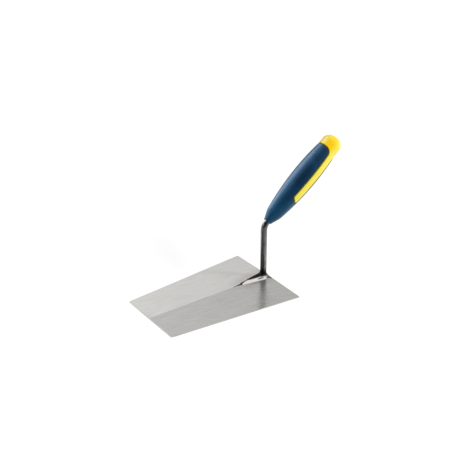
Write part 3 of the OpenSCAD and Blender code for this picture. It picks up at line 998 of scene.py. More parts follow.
class Handle:
    """Barrel, end cap and windows of the handle, in places along its axis and turns round it."""

    def __init__(self, scene):
        self.sizes = sizes = scene.trowel_handle
        shank = Shank(scene)
        self.bore_r = shank.radius + sizes.play
        self.tang_len = shank.sizes.tang_len
        self.along = Vector((math.cos(sizes.pitch), 0, math.sin(sizes.pitch)))
        self.under = Vector((math.sin(sizes.pitch), 0, -math.cos(sizes.pitch)))
        self.start = Vector((shank.neck_x, 0, shank.sizes.crank_z)) + sizes.nose_set * self.along
        self.front_r = arc_radius(sizes.belly_at - sizes.nose_len, sizes.belly_r - sizes.shoulder_r)
        self.rear_r = arc_radius(sizes.sleeve_len - sizes.belly_at, sizes.belly_r - sizes.rear_r)
        self.cap_r = sizes.rear_r + sizes.cap_swell
        self.round_x = self.cap_r - sizes.cap_round_r
        reach = sizes.cap_end_r - sizes.cap_round_r
        self.round_at = sizes.length - sizes.cap_end_r + math.sqrt(reach ** 2 - self.round_x ** 2)
        self.rear_faces = sizes.rear_n + sizes.flare_n
        self.front_faces = 2 * sizes.round_n + sizes.rake_n

    def barrel_r(self, at):
        """Radius of the barrel, nose and the cap's side."""
        sizes = self.sizes
        bow = self.front_r if at < sizes.belly_at else self.rear_r
        radius = sizes.belly_r - bow + math.sqrt(bow ** 2 - (at - sizes.belly_at) ** 2)
        if at > sizes.belly_at:
            return soft_max(radius, self.cap_r, sizes.cap_soft)
        nose = lerp(sizes.nose_r, sizes.shoulder_r, at / sizes.nose_len)
        return soft_min(radius, nose, sizes.nose_soft)

    def point(self, turn, at, radius):
        """Place in the frame: turn 0 is the handle's top, half a turn its underside, by the near side."""
        side = Vector((0, -radius * math.sin(turn), 0))
        return self.start + at * self.along - radius * math.cos(turn) * self.under + side

    def skin_points(self, grid, sink):
        """Places in the frame of (turn, place) pairs, at a depth below the barrel's surface."""
        return [self.point(turn, at, self.barrel_r(at) - sink) for turn, at in grid]

    def turn_at(self, drop, at):
        """Turn at which the barrel's surface lies a distance below the axis, seen from the side."""
        return math.acos(min(max(-drop / self.barrel_r(at), -1.0), 1.0))

    def rim(self, inset):
        """Edge of a window as (turn, place): from the top, round its front end, to the underside."""
        sizes = self.sizes
        high, low = sizes.tongue_drop - sizes.tongue_w / 2, sizes.tongue_drop + sizes.tongue_w / 2
        rake = math.degrees(sizes.tongue_rake)
        flare_at = sizes.sleeve_len - sizes.flare_r
        flare = sizes.flare_r + inset
        corner = sizes.tongue_corner_r - inset

        def corner_centre(drop):
            """Centre of a front corner, which the raked end touches."""
            run = sizes.tongue_corner_r / math.cos(sizes.tongue_rake)
            return (drop, sizes.tongue_from + run + (low - drop) * math.tan(sizes.tongue_rake))

        upper = corner_centre(high + sizes.tongue_corner_r)
        lower = corner_centre(low - sizes.tongue_corner_r)
        rear = sizes.sleeve_len + inset
        rear_turn = self.turn_at(high - sizes.flare_r, rear)
        edge = [(turn, rear) for turn in spread(0, rear_turn, sizes.rear_n)]

        def run_on(points):
            """Goes on along the edge through (drop, place) points, after the one it has reached."""
            edge.extend((self.turn_at(drop, at), at) for drop, at in points[1:])

        run_on(arc_points((high - sizes.flare_r, flare_at), flare, 90, 0, sizes.flare_n))
        run_on([(high + inset, at) for at in spread(flare_at, upper[1], sizes.straight_n)])
        turned = arc_points(upper, corner, 180, 270 - rake, sizes.round_n)
        run_on(turned)
        lower_turned = arc_points(lower, corner, 270 - rake, 360, sizes.round_n)
        run_on([between(turned[-1], lower_turned[0], part) for part in spread(0, 1, sizes.rake_n)])
        run_on(lower_turned)
        run_on([(low - inset, at) for at in spread(lower[1], flare_at, sizes.straight_n)])
        centre = (low + sizes.flare_r, flare_at)
        run_on(arc_points(centre, flare, 180, self.flare_end(centre, flare), self.rear_faces))
        edge[-1] = (math.pi, edge[-1][1])
        return edge

    def flare_end(self, centre, radius):
        """Angle at which the lower flare reaches the underside's middle line."""

        def inside(degrees):
            """Whether the flare still lies on the barrel."""
            drop, at = arc_points(centre, radius, degrees, degrees, 1)[0]
            return drop <= self.barrel_r(at)

        return first_where(inside, 90.0, 180.0)

    def rim_rows(self, made, loops, shade_at):
        """Rows round a window through (inset, sink) loops, each with its shade, and the last loop's rim."""
        rows = []
        for inset, sink in loops:
            rim = self.rim(inset)
            shade = [shade_at(inset, sink)] * len(rim)
            rows.append(made.row(self.skin_points(rim, sink), groove=shade))
        made.loft(rows)
        return rows, rim

    def border(self, rim):
        """Where a window's grid ends: the top line, a ring near the nose, the bottom line."""
        sizes = self.sizes
        flare_at = sizes.sleeve_len - sizes.flare_r - MM
        top = spread(rim[0][1], flare_at, self.rear_faces)[:-1]
        top += spread(flare_at, sizes.fan_at, sizes.straight_n)
        ring = [(turn, sizes.fan_at) for turn in spread(0, math.pi, self.front_faces)]
        below = spread(sizes.fan_at, flare_at, sizes.straight_n)
        below += spread(flare_at, rim[-1][1], self.rear_faces)[1:]
        return [(0.0, at) for at in top] + ring[1:] + [(math.pi, at) for at in below[1:]]

    def fan(self, made, rim, first_row, sink):
        """Covers the barrel from a window's rim to its border, and returns the ring near the nose."""
        sizes = self.sizes
        rows = [first_row]
        border = self.border(rim)
        for part in spread(0, 1, sizes.fan_n)[1:]:
            grid = [between(inner, outer, part) for inner, outer in zip(rim, border)]
            rows.append(made.row(self.skin_points(grid, sink)))
        made.loft(rows)
        start = self.rear_faces + sizes.straight_n
        return rows[-1][start: start + self.front_faces + 1]

    def half_rings(self, made, first_row, stations):
        """Continues half a ring of vertices through (radius, place) stations."""
        turns = spread(0, math.pi, len(first_row) - 1)
        rows = [first_row]
        for radius, at in stations:
            rows.append(made.row([self.point(turn, at, radius) for turn in turns]))
        made.loft(rows)


def build_sleeve(scene):
    """Soft sleeve with a tapered nose and two windows with rolled edges."""
    form = Handle(scene)
    sizes = form.sizes
    made = Builder("grip_soft_sleeve", masks=("groove", "rub_and_light"))
    roll = sizes.roll_r
    shade_from, shade_to = -2 * roll, -0.4 * roll
    loops = [(0.0, sizes.sleeve_t), (0.0, lerp(roll, sizes.sleeve_t, 0.5))]
    loops += [(roll * (math.cos(turn) - 1), roll * (1 - math.sin(turn))) for turn in ROLLING]
    loops += [(-roll - step, 0.0) for step in LIP_STEPS]
    rows, rim = form.rim_rows(made, loops, lambda inset, sink: smooth(shade_from, shade_to, inset))
    outer = form.fan(made, rim, rows[-1], 0.0)
    inner = form.fan(made, form.rim(0.0), rows[0], sizes.sleeve_t)
    ease = sizes.rim_ease
    ahead = spread(sizes.fan_at, ease, int(sizes.fan_at / sizes.step))[1:]
    outside = [(form.barrel_r(at), at) for at in ahead]
    rim_r = form.barrel_r(ease)
    outside += [(rim_r - ease * (1 - math.cos(turn)), ease * (1 - math.sin(turn))) for turn in EASING[1:]]
    outside += [(lerp(rim_r - ease, form.bore_r, 0.5), 0.0), (form.bore_r, 0.0)]
    form.half_rings(made, outer, outside)
    barrel = spread(sizes.fan_at, sizes.nose_len, sizes.inner_n)[1:]
    inside = [(form.barrel_r(at) - sizes.sleeve_t, at) for at in barrel]
    inside += [(form.bore_r, at) for at in spread(sizes.nose_len, 0, sizes.bore_n)]
    form.half_rings(made, inner, inside)
    made.mirror()
    top_from, top_to = -0.4, 0.8

    def rub_and_light_at(place):
        """How much paler the sleeve is on the nose: partly rubbed by the hand, partly painted light, most on
        its upper side.
        """
        reach = place - form.start
        at = reach.dot(form.along)
        top = -reach.dot(form.under) / form.barrel_r(at)
        above = lerp(sizes.rub_and_light_under, 1.0, smooth(top_from, top_to, top))
        return smooth(sizes.rub_and_light_to, sizes.rub_and_light_from, at) * above

    made.paint("rub_and_light", rub_and_light_at)
    return made.finish("grip_sleeve", "sleeve_rubber", sleeve_rubber(scene), CREASE)


def build_core(scene):
    """Yellow core: hidden barrel, two tongues that fill the windows, and the domed end cap."""
    form = Handle(scene)
    sizes = form.sizes
    made = Builder("handle_yellow_core", masks=("cap", "groove"))
    under = sizes.sleeve_t + sizes.play
    groove, deep, ease = sizes.groove_w, sizes.groove_d, sizes.tongue_ease
    loops = [(sizes.play, under), (sizes.play, deep), (groove - sizes.play, deep)]
    loops += [(groove, lerp(deep, ease, 0.5))]
    loops += [(groove + ease * (1 - math.cos(turn)), ease * (1 - math.sin(turn))) for turn in EASING]
    loops += [(groove + ease + sizes.tongue_lip, 0.0)]
    rows, rim = form.rim_rows(made, loops, lambda inset, sink: smooth(0, deep, sink))
    last = len(rim) - 1
    corner = form.rear_faces + sizes.straight_n + sizes.round_n
    across = []
    for i in range(corner):
        grid = [between(rim[i], rim[last - i], part) for part in spread(0, 1, sizes.rake_n)]
        row = made.row(form.skin_points(grid[1:-1], 0.0))
        across.append([rows[-1][i]] + row + [rows[-1][last - i]])
    across.append(rows[-1][corner: last - corner + 1])
    made.loft(across)
    side_from = max(rim[0][1], rim[last][1]) + MM
    outside = [(form.barrel_r(at), at) for at in spread(side_from, form.round_at, sizes.side_n)]
    tangent = math.degrees(math.acos(form.round_x / (sizes.cap_end_r - sizes.cap_round_r)))
    outside += arc_points((form.round_x, form.round_at), sizes.cap_round_r, 0, tangent, sizes.cap_n)[1:]
    end_at = sizes.length - sizes.cap_end_r
    outside += arc_points((0.0, end_at), sizes.cap_end_r, tangent, 90, sizes.cap_n // 2)[1:]
    form.half_rings(made, across[0], outside)
    hidden = form.fan(made, form.rim(sizes.play), rows[0], under)
    front, blind = sizes.nose_len + sizes.play, form.tang_len + sizes.play
    inside = [(form.barrel_r(at) - under, at) for at in spread(sizes.fan_at, front, sizes.inner_n)[1:]]
    inside += [(form.bore_r, at) for at in spread(front, blind, sizes.socket_n)]
    inside += [(0.0, blind)]
    form.half_rings(made, hidden, inside)
    made.mirror()
    rear, step = sizes.sleeve_len, sizes.cap_shade_step
    shade_turn, turn_full, turn_none = 44, 12, 46
    fade_from, fade_to = rear + 1.6 * step, rear + 5 * step

    def painted_shade_at(place):
        """How much painted shade deepens the yellow: behind the sleeve, on the cap's upper flanks."""
        reach = place - form.start
        at = reach.dot(form.along)
        turn = math.degrees(math.atan2(abs(place.y), -reach.dot(form.under)))
        beside = 1 - smooth(turn_full, turn_none, abs(turn - shade_turn))
        return beside * smooth(rear - step, rear, at) * smooth(fade_to, fade_from, at)

    # The cap mask holds the painted shade on the cap.
    made.paint("cap", painted_shade_at)
    return made.finish("handle_core", "core_plastic", core_plastic(scene), CREASE)


class Recipe:
    """Node tree of a material or a group, with short ways to add and join nodes."""

    GAP = 220

    def __init__(self, tree):
        self.tree = tree
        self.column = 0

    def add(self, kind, inputs=None, **settings):
        """Adds a node with its options and inputs. An input that is another node's output is joined."""
        node = self.tree.nodes.new(kind)
        node.location = (self.GAP * self.column, 0)
        self.column += 1
        for key, value in settings.items():
            setattr(node, key, value)
        for key, value in (inputs or {}).items():
            self.feed(node.inputs[key], value)
        return node

    def feed(self, socket, value):
        """Joins an output to a socket, or sets a plain value on it."""
        if isinstance(value, bpy.types.NodeSocket):
            self.tree.links.new(value, socket)
        else:
            socket.default_value = value

    def mix(self, factor, first, second):
        """Colour mix of two colours or outputs by a factor."""
        node = self.add("ShaderNodeMix", {0: factor}, data_type="RGBA")
        for index, value in ((6, first), (7, second)):
            joined = isinstance(value, bpy.types.NodeSocket)
            self.feed(node.inputs[index], value if joined else (*value, 1.0))
        return node.outputs[2]

    def math(self, operation, first, second=0.0, clamp=False):
        """Arithmetic on two values or outputs."""
        inputs = {0: first, 1: second}
        return self.add("ShaderNodeMath", inputs, operation=operation, use_clamp=clamp).outputs[0]

    def times(self, first, second):
        """Product of two values or outputs."""
        return self.math("MULTIPLY", first, second)

    def plus(self, first, second):
        """Sum of two values or outputs."""
        return self.math("ADD", first, second)

    def vector(self, operation, inputs):
        """Node for arithmetic on vectors."""
        return self.add("ShaderNodeVectorMath", inputs, operation=operation)

    def noise(self, place, detail, **more):
        """Soft random pattern at a place."""
        inputs = {"Vector": place, "Scale": 1.0, "Detail": detail, **more}
        return self.add("ShaderNodeTexNoise", inputs).outputs[0]

    def remap(self, value, low, high, to_low, to_high):
        """A value moved from one range to another, held inside it."""
        inputs = {"Value": value, "From Min": low, "From Max": high, "To Min": to_low, "To Max": to_high}
        return self.add("ShaderNodeMapRange", inputs).outputs["Result"]

    def scaled(self, value, low, high):
        """A value from 0 to 1, moved to another range and held inside it."""
        return self.remap(value, 0.0, 1.0, low, high)

    def ease(self, value, low, high):
        """Smooth step of a value from 0 at low to 1 at high."""
        inputs = {"Value": value, "From Min": low, "From Max": high}
        return self.add("ShaderNodeMapRange", inputs, interpolation_type="SMOOTHSTEP").outputs["Result"]

    def mask(self, name):
        """A mask that the piece's mesh carries."""
        return self.add("ShaderNodeAttribute", attribute_name=name).outputs["Fac"]

    def group(self, tree, **inputs):
        """A shared effect with its own values. Underscores stand for spaces in socket names."""
        node = self.add("ShaderNodeGroup", node_tree=tree)
        for key, value in inputs.items():
            self.feed(node.inputs[key.replace("_", " ")], value)
        return node.outputs


def shared_group(name, inputs, outputs, fill):
    """Makes a shader node group once and returns it after that."""
    tree = bpy.data.node_groups.get(name)
    if tree:
        return tree
    tree = bpy.data.node_groups.new(name, "ShaderNodeTree")
    for socket, kind, value in inputs:
        made = tree.interface.new_socket(name=socket, in_out="INPUT", socket_type=kind)
        made.default_value = value
    for socket, kind in outputs:
        tree.interface.new_socket(name=socket, in_out="OUTPUT", socket_type=kind)
    recipe = Recipe(tree)
    given = recipe.add("NodeGroupInput").outputs
    results = fill(recipe, given)
    sink = recipe.add("NodeGroupOutput")
    for socket, value in results.items():
        tree.links.new(value, sink.inputs[socket])
    return tree


def grind_lines():
    """Fine lines that a grinding belt leaves, stretched along one direction."""

    broad_size, fine_share, broad_share = 0.09, 0.5, 0.5
    low, high = 0.32, 0.68

    def fill(nodes, given):
        """Nodes of the group."""
        place = nodes.add("ShaderNodeTexCoord").outputs["Object"]
        turn = {"Vector": place, "Angle": given["Turn"]}
        turned = nodes.add("ShaderNodeVectorRotate", turn, rotation_type="Z_AXIS").outputs[0]
        stretched = nodes.vector("MULTIPLY", {0: turned, 1: given["Stretch"]}).outputs[0]
        fine = nodes.noise(stretched, 4.0)
        broad = nodes.noise(nodes.vector("SCALE", {0: stretched, "Scale": broad_size}).outputs[0], 3.0)
        lines = nodes.plus(nodes.times(fine, fine_share), nodes.times(broad, broad_share))
        return {"Lines": nodes.remap(lines, low, high, 0.0, 1.0)}

    inputs = [("Stretch", "NodeSocketVector", (60, 4200, 60)), ("Turn", "NodeSocketFloat", 0.0)]
    return shared_group("Grind lines", inputs, [("Lines", "NodeSocketFloat")], fill)


def smudges():
    """Soft patches of handling and cleaning marks."""

    softness = 0.18

    def fill(nodes, given):
        """Nodes of the group."""
        place = nodes.add("ShaderNodeTexCoord").outputs["Object"]
        sized = nodes.vector("SCALE", {0: place, "Scale": given["Scale"]}).outputs[0]
        patch = nodes.noise(sized, 5.0, Roughness=0.6)
        high = nodes.plus(given["Cover"], softness)
        return {"Mask": nodes.remap(patch, given["Cover"], high, 0.0, 1.0)}

    inputs = [("Scale", "NodeSocketFloat", 30.0), ("Cover", "NodeSocketFloat", 0.5)]
    return shared_group("Smudges", inputs, [("Mask", "NodeSocketFloat")], fill)


def moulded_grain():
    """Fine pebble of a moulded surface, as a height and as slight unevenness of gloss."""

    drift_share = 0.05

    def fill(nodes, given):
        """Nodes of the group."""
        place = nodes.add("ShaderNodeTexCoord").outputs["Object"]
        sized = {"Vector": place, "Scale": given["Scale"]}
        cells = nodes.add("ShaderNodeTexVoronoi", sized, feature="SMOOTH_F1").outputs["Distance"]
        drift = nodes.noise(place, 3.0, Scale=nodes.times(given["Scale"], drift_share))
        return {"Height": cells, "Gloss": drift}

    inputs = [("Scale", "NodeSocketFloat", 1500.0)]
    outputs = [("Height", "NodeSocketFloat"), ("Gloss", "NodeSocketFloat")]
    return shared_group("Moulded grain", inputs, outputs, fill)


def groove_shade():
    """Dust and shade that gather in the parting groove, laid over a colour."""

    def fill(nodes, given):
        """Nodes of the group."""
        cover = nodes.times(given["Groove"], given["Cover"])
        return {"Colour": nodes.mix(cover, given["Clean"], given["Dust"])}

    inputs = [
        ("Clean", "NodeSocketColor", (0.8, 0.8, 0.8, 1.0)),
        ("Dust", "NodeSocketColor", (0.0, 0.0, 0.0, 1.0)),
        ("Groove", "NodeSocketFloat", 0.0),
        ("Cover", "NodeSocketFloat", 1.0),
    ]
    return shared_group("Groove shade", inputs, [("Colour", "NodeSocketColor")], fill)


def new_material(name):
    """Empty material with its shader, and the recipe that fills it."""
    material = bpy.data.materials.new(name)
    material.use_nodes = True
    recipe = Recipe(material.node_tree)
    return material, recipe, material.node_tree.nodes["Principled BSDF"]


def wire(recipe, shader, **sockets):
    """Feeds the shader's sockets. Underscores stand for spaces in their names."""
    for key, value in sockets.items():
        recipe.feed(shader.inputs[key.replace("_", " ")], value)


def bump(recipe, height, strength, depth):
    """Normal from a height."""
    inputs = {"Height": height, "Strength": strength, "Distance": depth}
    return recipe.add("ShaderNodeBump", inputs).outputs["Normal"]


def dusted(recipe, colour, finish, cover):
    """A colour with the groove's dust and shade over it."""
    dust, groove = (*finish.groove_dust_and_shade, 1.0), recipe.mask("groove")
    return recipe.group(groove_shade(), Clean=colour, Dust=dust, Groove=groove, Cover=cover)["Colour"]


def blade_steel(scene):
    """Satin steel, ground along the blade, each slope with its own lay; the far slope is painted lighter than
    the near one as painted light, and the tint round the foot is partly painted shade.
    """
    finish = scene.trowel_finish
    heat_and_shade_cover, marks_cover, edge_cover = (0.32, 0.6), 0.08, 0.7
    furrow_rough, crest_rough = finish.blade_rough + 0.06, finish.blade_rough - 0.05
    marks_rough, edge_rough = 0.05, 0.3
    face_metal, edge_metal = 0.8, 0.2
    material, nodes, shader = new_material("Blade ground steel")
    place = nodes.add("ShaderNodeTexCoord").outputs["Object"]
    split = nodes.add("ShaderNodeSeparateXYZ", {0: place}).outputs
    far = nodes.times(nodes.math("GREATER_THAN", split["Y"], 0.0), nodes.mask("upper"))
    lay = nodes.scaled(far, finish.near_lay, finish.far_lay)
    lines = nodes.group(grind_lines(), Stretch=(400, 5200, 400), Turn=lay)["Lines"]
    marks = nodes.group(smudges(), Scale=26.0, Cover=0.5)["Mask"]
    # Painted light: the far slope gets a lighter steel and the near slope a darker one.
    slope = nodes.mix(far, finish.blade_near_shaded, finish.blade_far_lit)
    depth = nodes.scaled(far, finish.near_lines, finish.far_lines)
    furrows = nodes.math("SUBTRACT", 1.0, lines)
    colour = nodes.mix(nodes.times(depth, furrows), slope, finish.blade_dull)
    # The heat tint round the foot is partly painted shade.
    heat = nodes.times(nodes.mask("heated_and_shaded"), nodes.scaled(marks, *heat_and_shade_cover))
    tinted = nodes.mix(nodes.plus(heat, nodes.times(marks, marks_cover)), colour, finish.heat_tint_and_shade)
    # Eased edges take a duller steel; the toe edge is painted lighter, partly wear and partly painted light
    # on its face.
    edge = nodes.mask("edge")
    toe = nodes.math("LESS_THAN", split["X"], BLADE_LOW.x + finish.toe_worn_and_lit)
    edge_steel = nodes.mix(toe, finish.blade_edge, finish.toe_edge_lit)
    worn_and_lit = nodes.mix(nodes.times(edge, edge_cover), tinted, edge_steel)
    rough = nodes.scaled(lines, furrow_rough, crest_rough)
    rough = nodes.plus(rough, nodes.times(marks, marks_rough))
    rough = nodes.plus(rough, nodes.times(edge, edge_rough))
    metal = nodes.scaled(edge, face_metal, edge_metal)
    normal = bump(nodes, lines, strength=0.12, depth=0.02 * MM)
    wire(nodes, shader, Base_Color=worn_and_lit, Roughness=rough, Normal=normal, Metallic=metal)
    return material


def bar_steel(scene):
    """Dark drawn bar with streaks along it, ground bright on the foot's flanks."""
    finish = scene.trowel_finish
    streaks_along, streaks_across, streak_range = 22.0, 900.0, (0.35, 0.65)
    streak_cover, scale_cover, burnt_cover = 0.6, 0.35, 0.95
    scale_rough, burnt_rough, streak_height = 0.14, 0.12, 0.4
    material, nodes, shader = new_material("Drawn bar steel")
    place = nodes.add("ShaderNodeTexCoord").outputs["Object"]
    split = nodes.add("ShaderNodeSeparateXYZ", {0: place}).outputs
    along = nodes.times(nodes.mask("along"), streaks_along)
    across = nodes.times(split["Y"], streaks_across)
    streak_place = nodes.add("ShaderNodeCombineXYZ", {"X": along, "Y": across, "Z": 0.0}).outputs[0]
    streak = nodes.remap(nodes.noise(streak_place, 4.0), *streak_range, 0.0, 1.0)
    scale = nodes.group(smudges(), Scale=140.0, Cover=0.46)["Mask"]
    dark = nodes.mix(nodes.times(streak, streak_cover), finish.bar_light, finish.bar_dark)
    dark = nodes.mix(nodes.times(scale, scale_cover), dark, finish.bar_dark)
    burnt = nodes.mask("burnt")
    dark = nodes.mix(nodes.times(burnt, burnt_cover), dark, finish.weld_scale)
    ground = nodes.mask("ground")
    lines = nodes.group(grind_lines(), Stretch=(2600, 160, 160), Turn=0.25)["Lines"]
    colour = nodes.mix(ground, dark, finish.weld_bright)
    rough = nodes.plus(nodes.times(scale, scale_rough), finish.bar_rough)
    rough = nodes.plus(nodes.times(burnt, burnt_rough), rough)
    height = nodes.plus(nodes.times(streak, streak_height), nodes.times(lines, ground))
    normal = bump(nodes, height, strength=0.2, depth=0.03 * MM)
    wire(nodes, shader, Base_Color=colour, Roughness=rough, Normal=normal, Metallic=1.0)
    wire(nodes, shader, Specular_Tint=(*finish.bar_sheen, 1.0))
    return material


def weld_steel(scene):
    """Weld metal: bright with grinder marks on the flanks, dark and scaled where it is raw, with a painted
    shade inside the open seam.
    """
    finish = scene.trowel_finish
    line_cover, least_scale, burnt_cover, seam_shade_cover = 0.22, 0.7, 0.95, 0.92
    ground_rough, raw_rough, seam_rough = 0.25, 0.5, 0.3
    material, nodes, shader = new_material("Weld steel")
    raw, seam = nodes.mask("raw"), nodes.mask("seam")
    lines = nodes.group(grind_lines(), Stretch=(2600, 220, 220), Turn=0.35)["Lines"]
    scale = nodes.group(smudges(), Scale=420.0, Cover=0.44)["Mask"]
    bright = nodes.mix(nodes.times(lines, line_cover), finish.weld_bright, finish.blade_dull)
    scale_cover = nodes.times(raw, nodes.scaled(scale, least_scale, 1.0))
    colour = nodes.mix(scale_cover, bright, finish.weld_raw)
    colour = nodes.mix(nodes.times(nodes.mask("burnt"), burnt_cover), colour, finish.weld_scale)
    # The open seam is painted dark: a painted shade.
    colour = nodes.mix(nodes.times(seam, seam_shade_cover), colour, finish.weld_seam_shade)
    rough = nodes.plus(nodes.scaled(raw, ground_rough, raw_rough), nodes.times(seam, seam_rough))
    height = nodes.plus(lines, nodes.times(scale, raw))
    normal = bump(nodes, height, strength=0.25, depth=0.04 * MM)
    wire(nodes, shader, Base_Color=colour, Roughness=rough, Normal=normal, Metallic=1.0)
    return material


def core_plastic(scene):
    """Glossy yellow moulding with a fine skin, and a painted shade that deepens the yellow on the cap behind
    the sleeve.
    """
    finish = scene.trowel_finish
    tone_change, marks_rough = 0.06, 0.08
    material, nodes, shader = new_material("Core yellow plastic")
    grain = nodes.group(moulded_grain(), Scale=2200.0)
    marks = nodes.group(smudges(), Scale=60.0, Cover=0.52)["Mask"]
    uneven = nodes.remap(grain["Gloss"], *GLOSS_RANGE, -tone_change, tone_change)
    # The cap mask adds a painted shade that deepens the yellow.
    deep = nodes.math("ADD", nodes.mask("cap"), uneven, clamp=True)
    colour = nodes.mix(deep, finish.core, finish.core_painted_shade)
    colour = dusted(nodes, colour, finish, finish.groove_floor)
    rough = nodes.plus(nodes.times(marks, marks_rough), finish.core_rough)
    normal = bump(nodes, grain["Height"], strength=0.03, depth=0.03 * MM)
    wire(nodes, shader, Base_Color=colour, Roughness=rough, Normal=normal)
    wire(nodes, shader, Coat_Weight=0.12, Coat_Roughness=0.15, IOR=1.49, Specular_IOR_Level=0.35)
    return material


def sleeve_rubber(scene):
    """Satin dark blue rubber with a fine pebble, a little paler on the nose, where hands rub it and painted
    light lies on its upper side.
    """
    finish = scene.trowel_finish
    marks_share, rub_and_light_share, gloss_change = 0.25, 0.75, 0.04
    material, nodes, shader = new_material("Sleeve blue rubber")
    grain = nodes.group(moulded_grain(), Scale=1500.0)
    marks = nodes.group(smudges(), Scale=48.0, Cover=0.5)["Mask"]
    # This mask is partly rub and partly painted light on the nose's upper side.
    rub_and_light = nodes.times(nodes.mask("rub_and_light"), rub_and_light_share)
    rubbed_and_lit = nodes.plus(nodes.times(marks, marks_share), rub_and_light)
    colour = nodes.mix(rubbed_and_lit, finish.sleeve, finish.sleeve_rubbed_and_lit)
    colour = dusted(nodes, colour, finish, finish.groove_shade)
    uneven = nodes.remap(grain["Gloss"], *GLOSS_RANGE, -gloss_change, gloss_change)
    rough = nodes.plus(uneven, finish.sleeve_rough)
    normal = bump(nodes, grain["Height"], strength=0.1, depth=0.06 * MM)
    wire(nodes, shader, Base_Color=colour, Roughness=rough, Normal=normal, IOR=1.5)
    wire(nodes, shader, Specular_IOR_Level=1.0, Specular_Tint=(*finish.sleeve_sheen, 1.0))
    return material


def floor_white(stage):
    """Pale floor that the camera and mirrors see as white, and that still takes the object's shadow."""
    front_fade, front_tones = (-0.05, 0.06), (0.83, 0.17)
    away_fade, away_tones = (0.4, 2.2), (0.84, 0.94)
    material = bpy.data.materials.new("Floor white")
    material.cycles.emission_sampling = "NONE"
    material.use_nodes = True
    nodes = Recipe(material.node_tree)
    material.node_tree.nodes.clear()
    tones = [(*[tone] * 3, 1.0) for tone in (stage.floor_tone, stage.floor_shadow)]
    plain, shadow = [nodes.add("ShaderNodeBsdfDiffuse", {"Color": tone}).outputs[0] for tone in tones]
    path = nodes.add("ShaderNodeLightPath").outputs
    place = nodes.add("ShaderNodeTexCoord").outputs["Object"]
    front = nodes.vector("DOT_PRODUCT", {0: place, 1: FLOOR_FRONT}).outputs["Value"]
    faded = nodes.scaled(nodes.ease(front, *front_fade), *front_tones)
    away = nodes.vector("LENGTH", {0: place}).outputs["Value"]
    level = nodes.scaled(nodes.ease(away, *away_fade), *away_tones)
    strength = nodes.add("ShaderNodeMix", {0: path["Is Glossy Ray"], 2: level, 3: faded}).outputs[0]
    glow = nodes.add("ShaderNodeEmission", {"Color": (1, 1, 1, 1), "Strength": strength}).outputs[0]
    shown = nodes.add("ShaderNodeAddShader", {0: shadow, 1: glow}).outputs[0]
    seen = nodes.math("MAXIMUM", path["Is Camera Ray"], path["Is Transmission Ray"])
    seen = nodes.math("MAXIMUM", seen, path["Is Glossy Ray"])
    mixed = nodes.add("ShaderNodeMixShader", {0: seen, 1: plain, 2: shown}).outputs[0]
    nodes.add("ShaderNodeOutputMaterial", {"Surface": mixed})
    return material


def studio_world(scene, stage):
    """Soft white sweep all round with one dark side; the camera sees white."""
    dark_fade, behind_up, behind_far = (0.0, 0.4), (0.55, 0.8), (-0.3, 0.1)
    heel_fade, heel_tones = (0.34, 0.70), (1.2, 0.62)
    low_fade, low_tones = (0.05, 0.4), (0.55, 1.0)
    world = bpy.data.worlds.new("Studio")
    scene.world = world
    world.cycles.sampling_method = "NONE"
    world.use_nodes = True
    nodes = Recipe(world.node_tree)
    world.node_tree.nodes.clear()
    place = nodes.add("ShaderNodeTexCoord").outputs["Generated"]
    split = nodes.add("ShaderNodeSeparateXYZ", {0: place}).outputs
    dark_from = Vector(stage.dark_from).normalized()
    towards = nodes.vector("DOT_PRODUCT", {0: place, 1: dark_from}).outputs["Value"]
    behind = nodes.times(nodes.ease(split["Z"], *behind_up), nodes.ease(split["Y"], *behind_far))
    dark = nodes.times(nodes.ease(towards, *dark_fade), nodes.math("SUBTRACT", 1.0, behind))
    tone = nodes.scaled(dark, 1.0, stage.dark_side)
    tone = nodes.times(tone, nodes.remap(split["X"], *heel_fade, *heel_tones))
    tone = nodes.times(tone, nodes.remap(split["Z"], *low_fade, *low_tones))
    mirrored = nodes.times(tone, stage.mirror_light)
    path = nodes.add("ShaderNodeLightPath").outputs
    choice = {0: path["Is Glossy Ray"], 2: stage.world_light, 3: mirrored}
    level = nodes.add("ShaderNodeMix", choice).outputs[0]
    light = nodes.add("ShaderNodeBackground", {"Strength": level}).outputs[0]
    white = nodes.add("ShaderNodeBackground", {"Color": (1, 1, 1, 1), "Strength": 1.0}).outputs[0]
    mixed = nodes.add("ShaderNodeMixShader", {0: path["Is Camera Ray"], 1: light, 2: white}).outputs[0]
    nodes.add("ShaderNodeOutputWorld", {"Surface": mixed})


def view_back(stage):
    """Direction from the object to the camera."""
    return Vector((
        math.sin(stage.azimuth) * math.cos(stage.elevation),
        -math.cos(stage.azimuth) * math.cos(stage.elevation),
        math.sin(stage.elevation),
    ))


def soft_lamp(scene, name, place, aim, watts, wide, high):
    """One rectangular lamp that points at a place."""
    lamp = bpy.data.lights.new(name, "AREA")
    lamp.shape = "RECTANGLE"
    lamp.size, lamp.size_y = wide, high
    lamp.energy = watts
    holder = bpy.data.objects.new(name, lamp)
    holder.location = place
    holder.rotation_euler = (Vector(aim) - Vector(place)).to_track_quat("-Z", "Y").to_euler()
    scene.collection.objects.link(holder)
    return holder


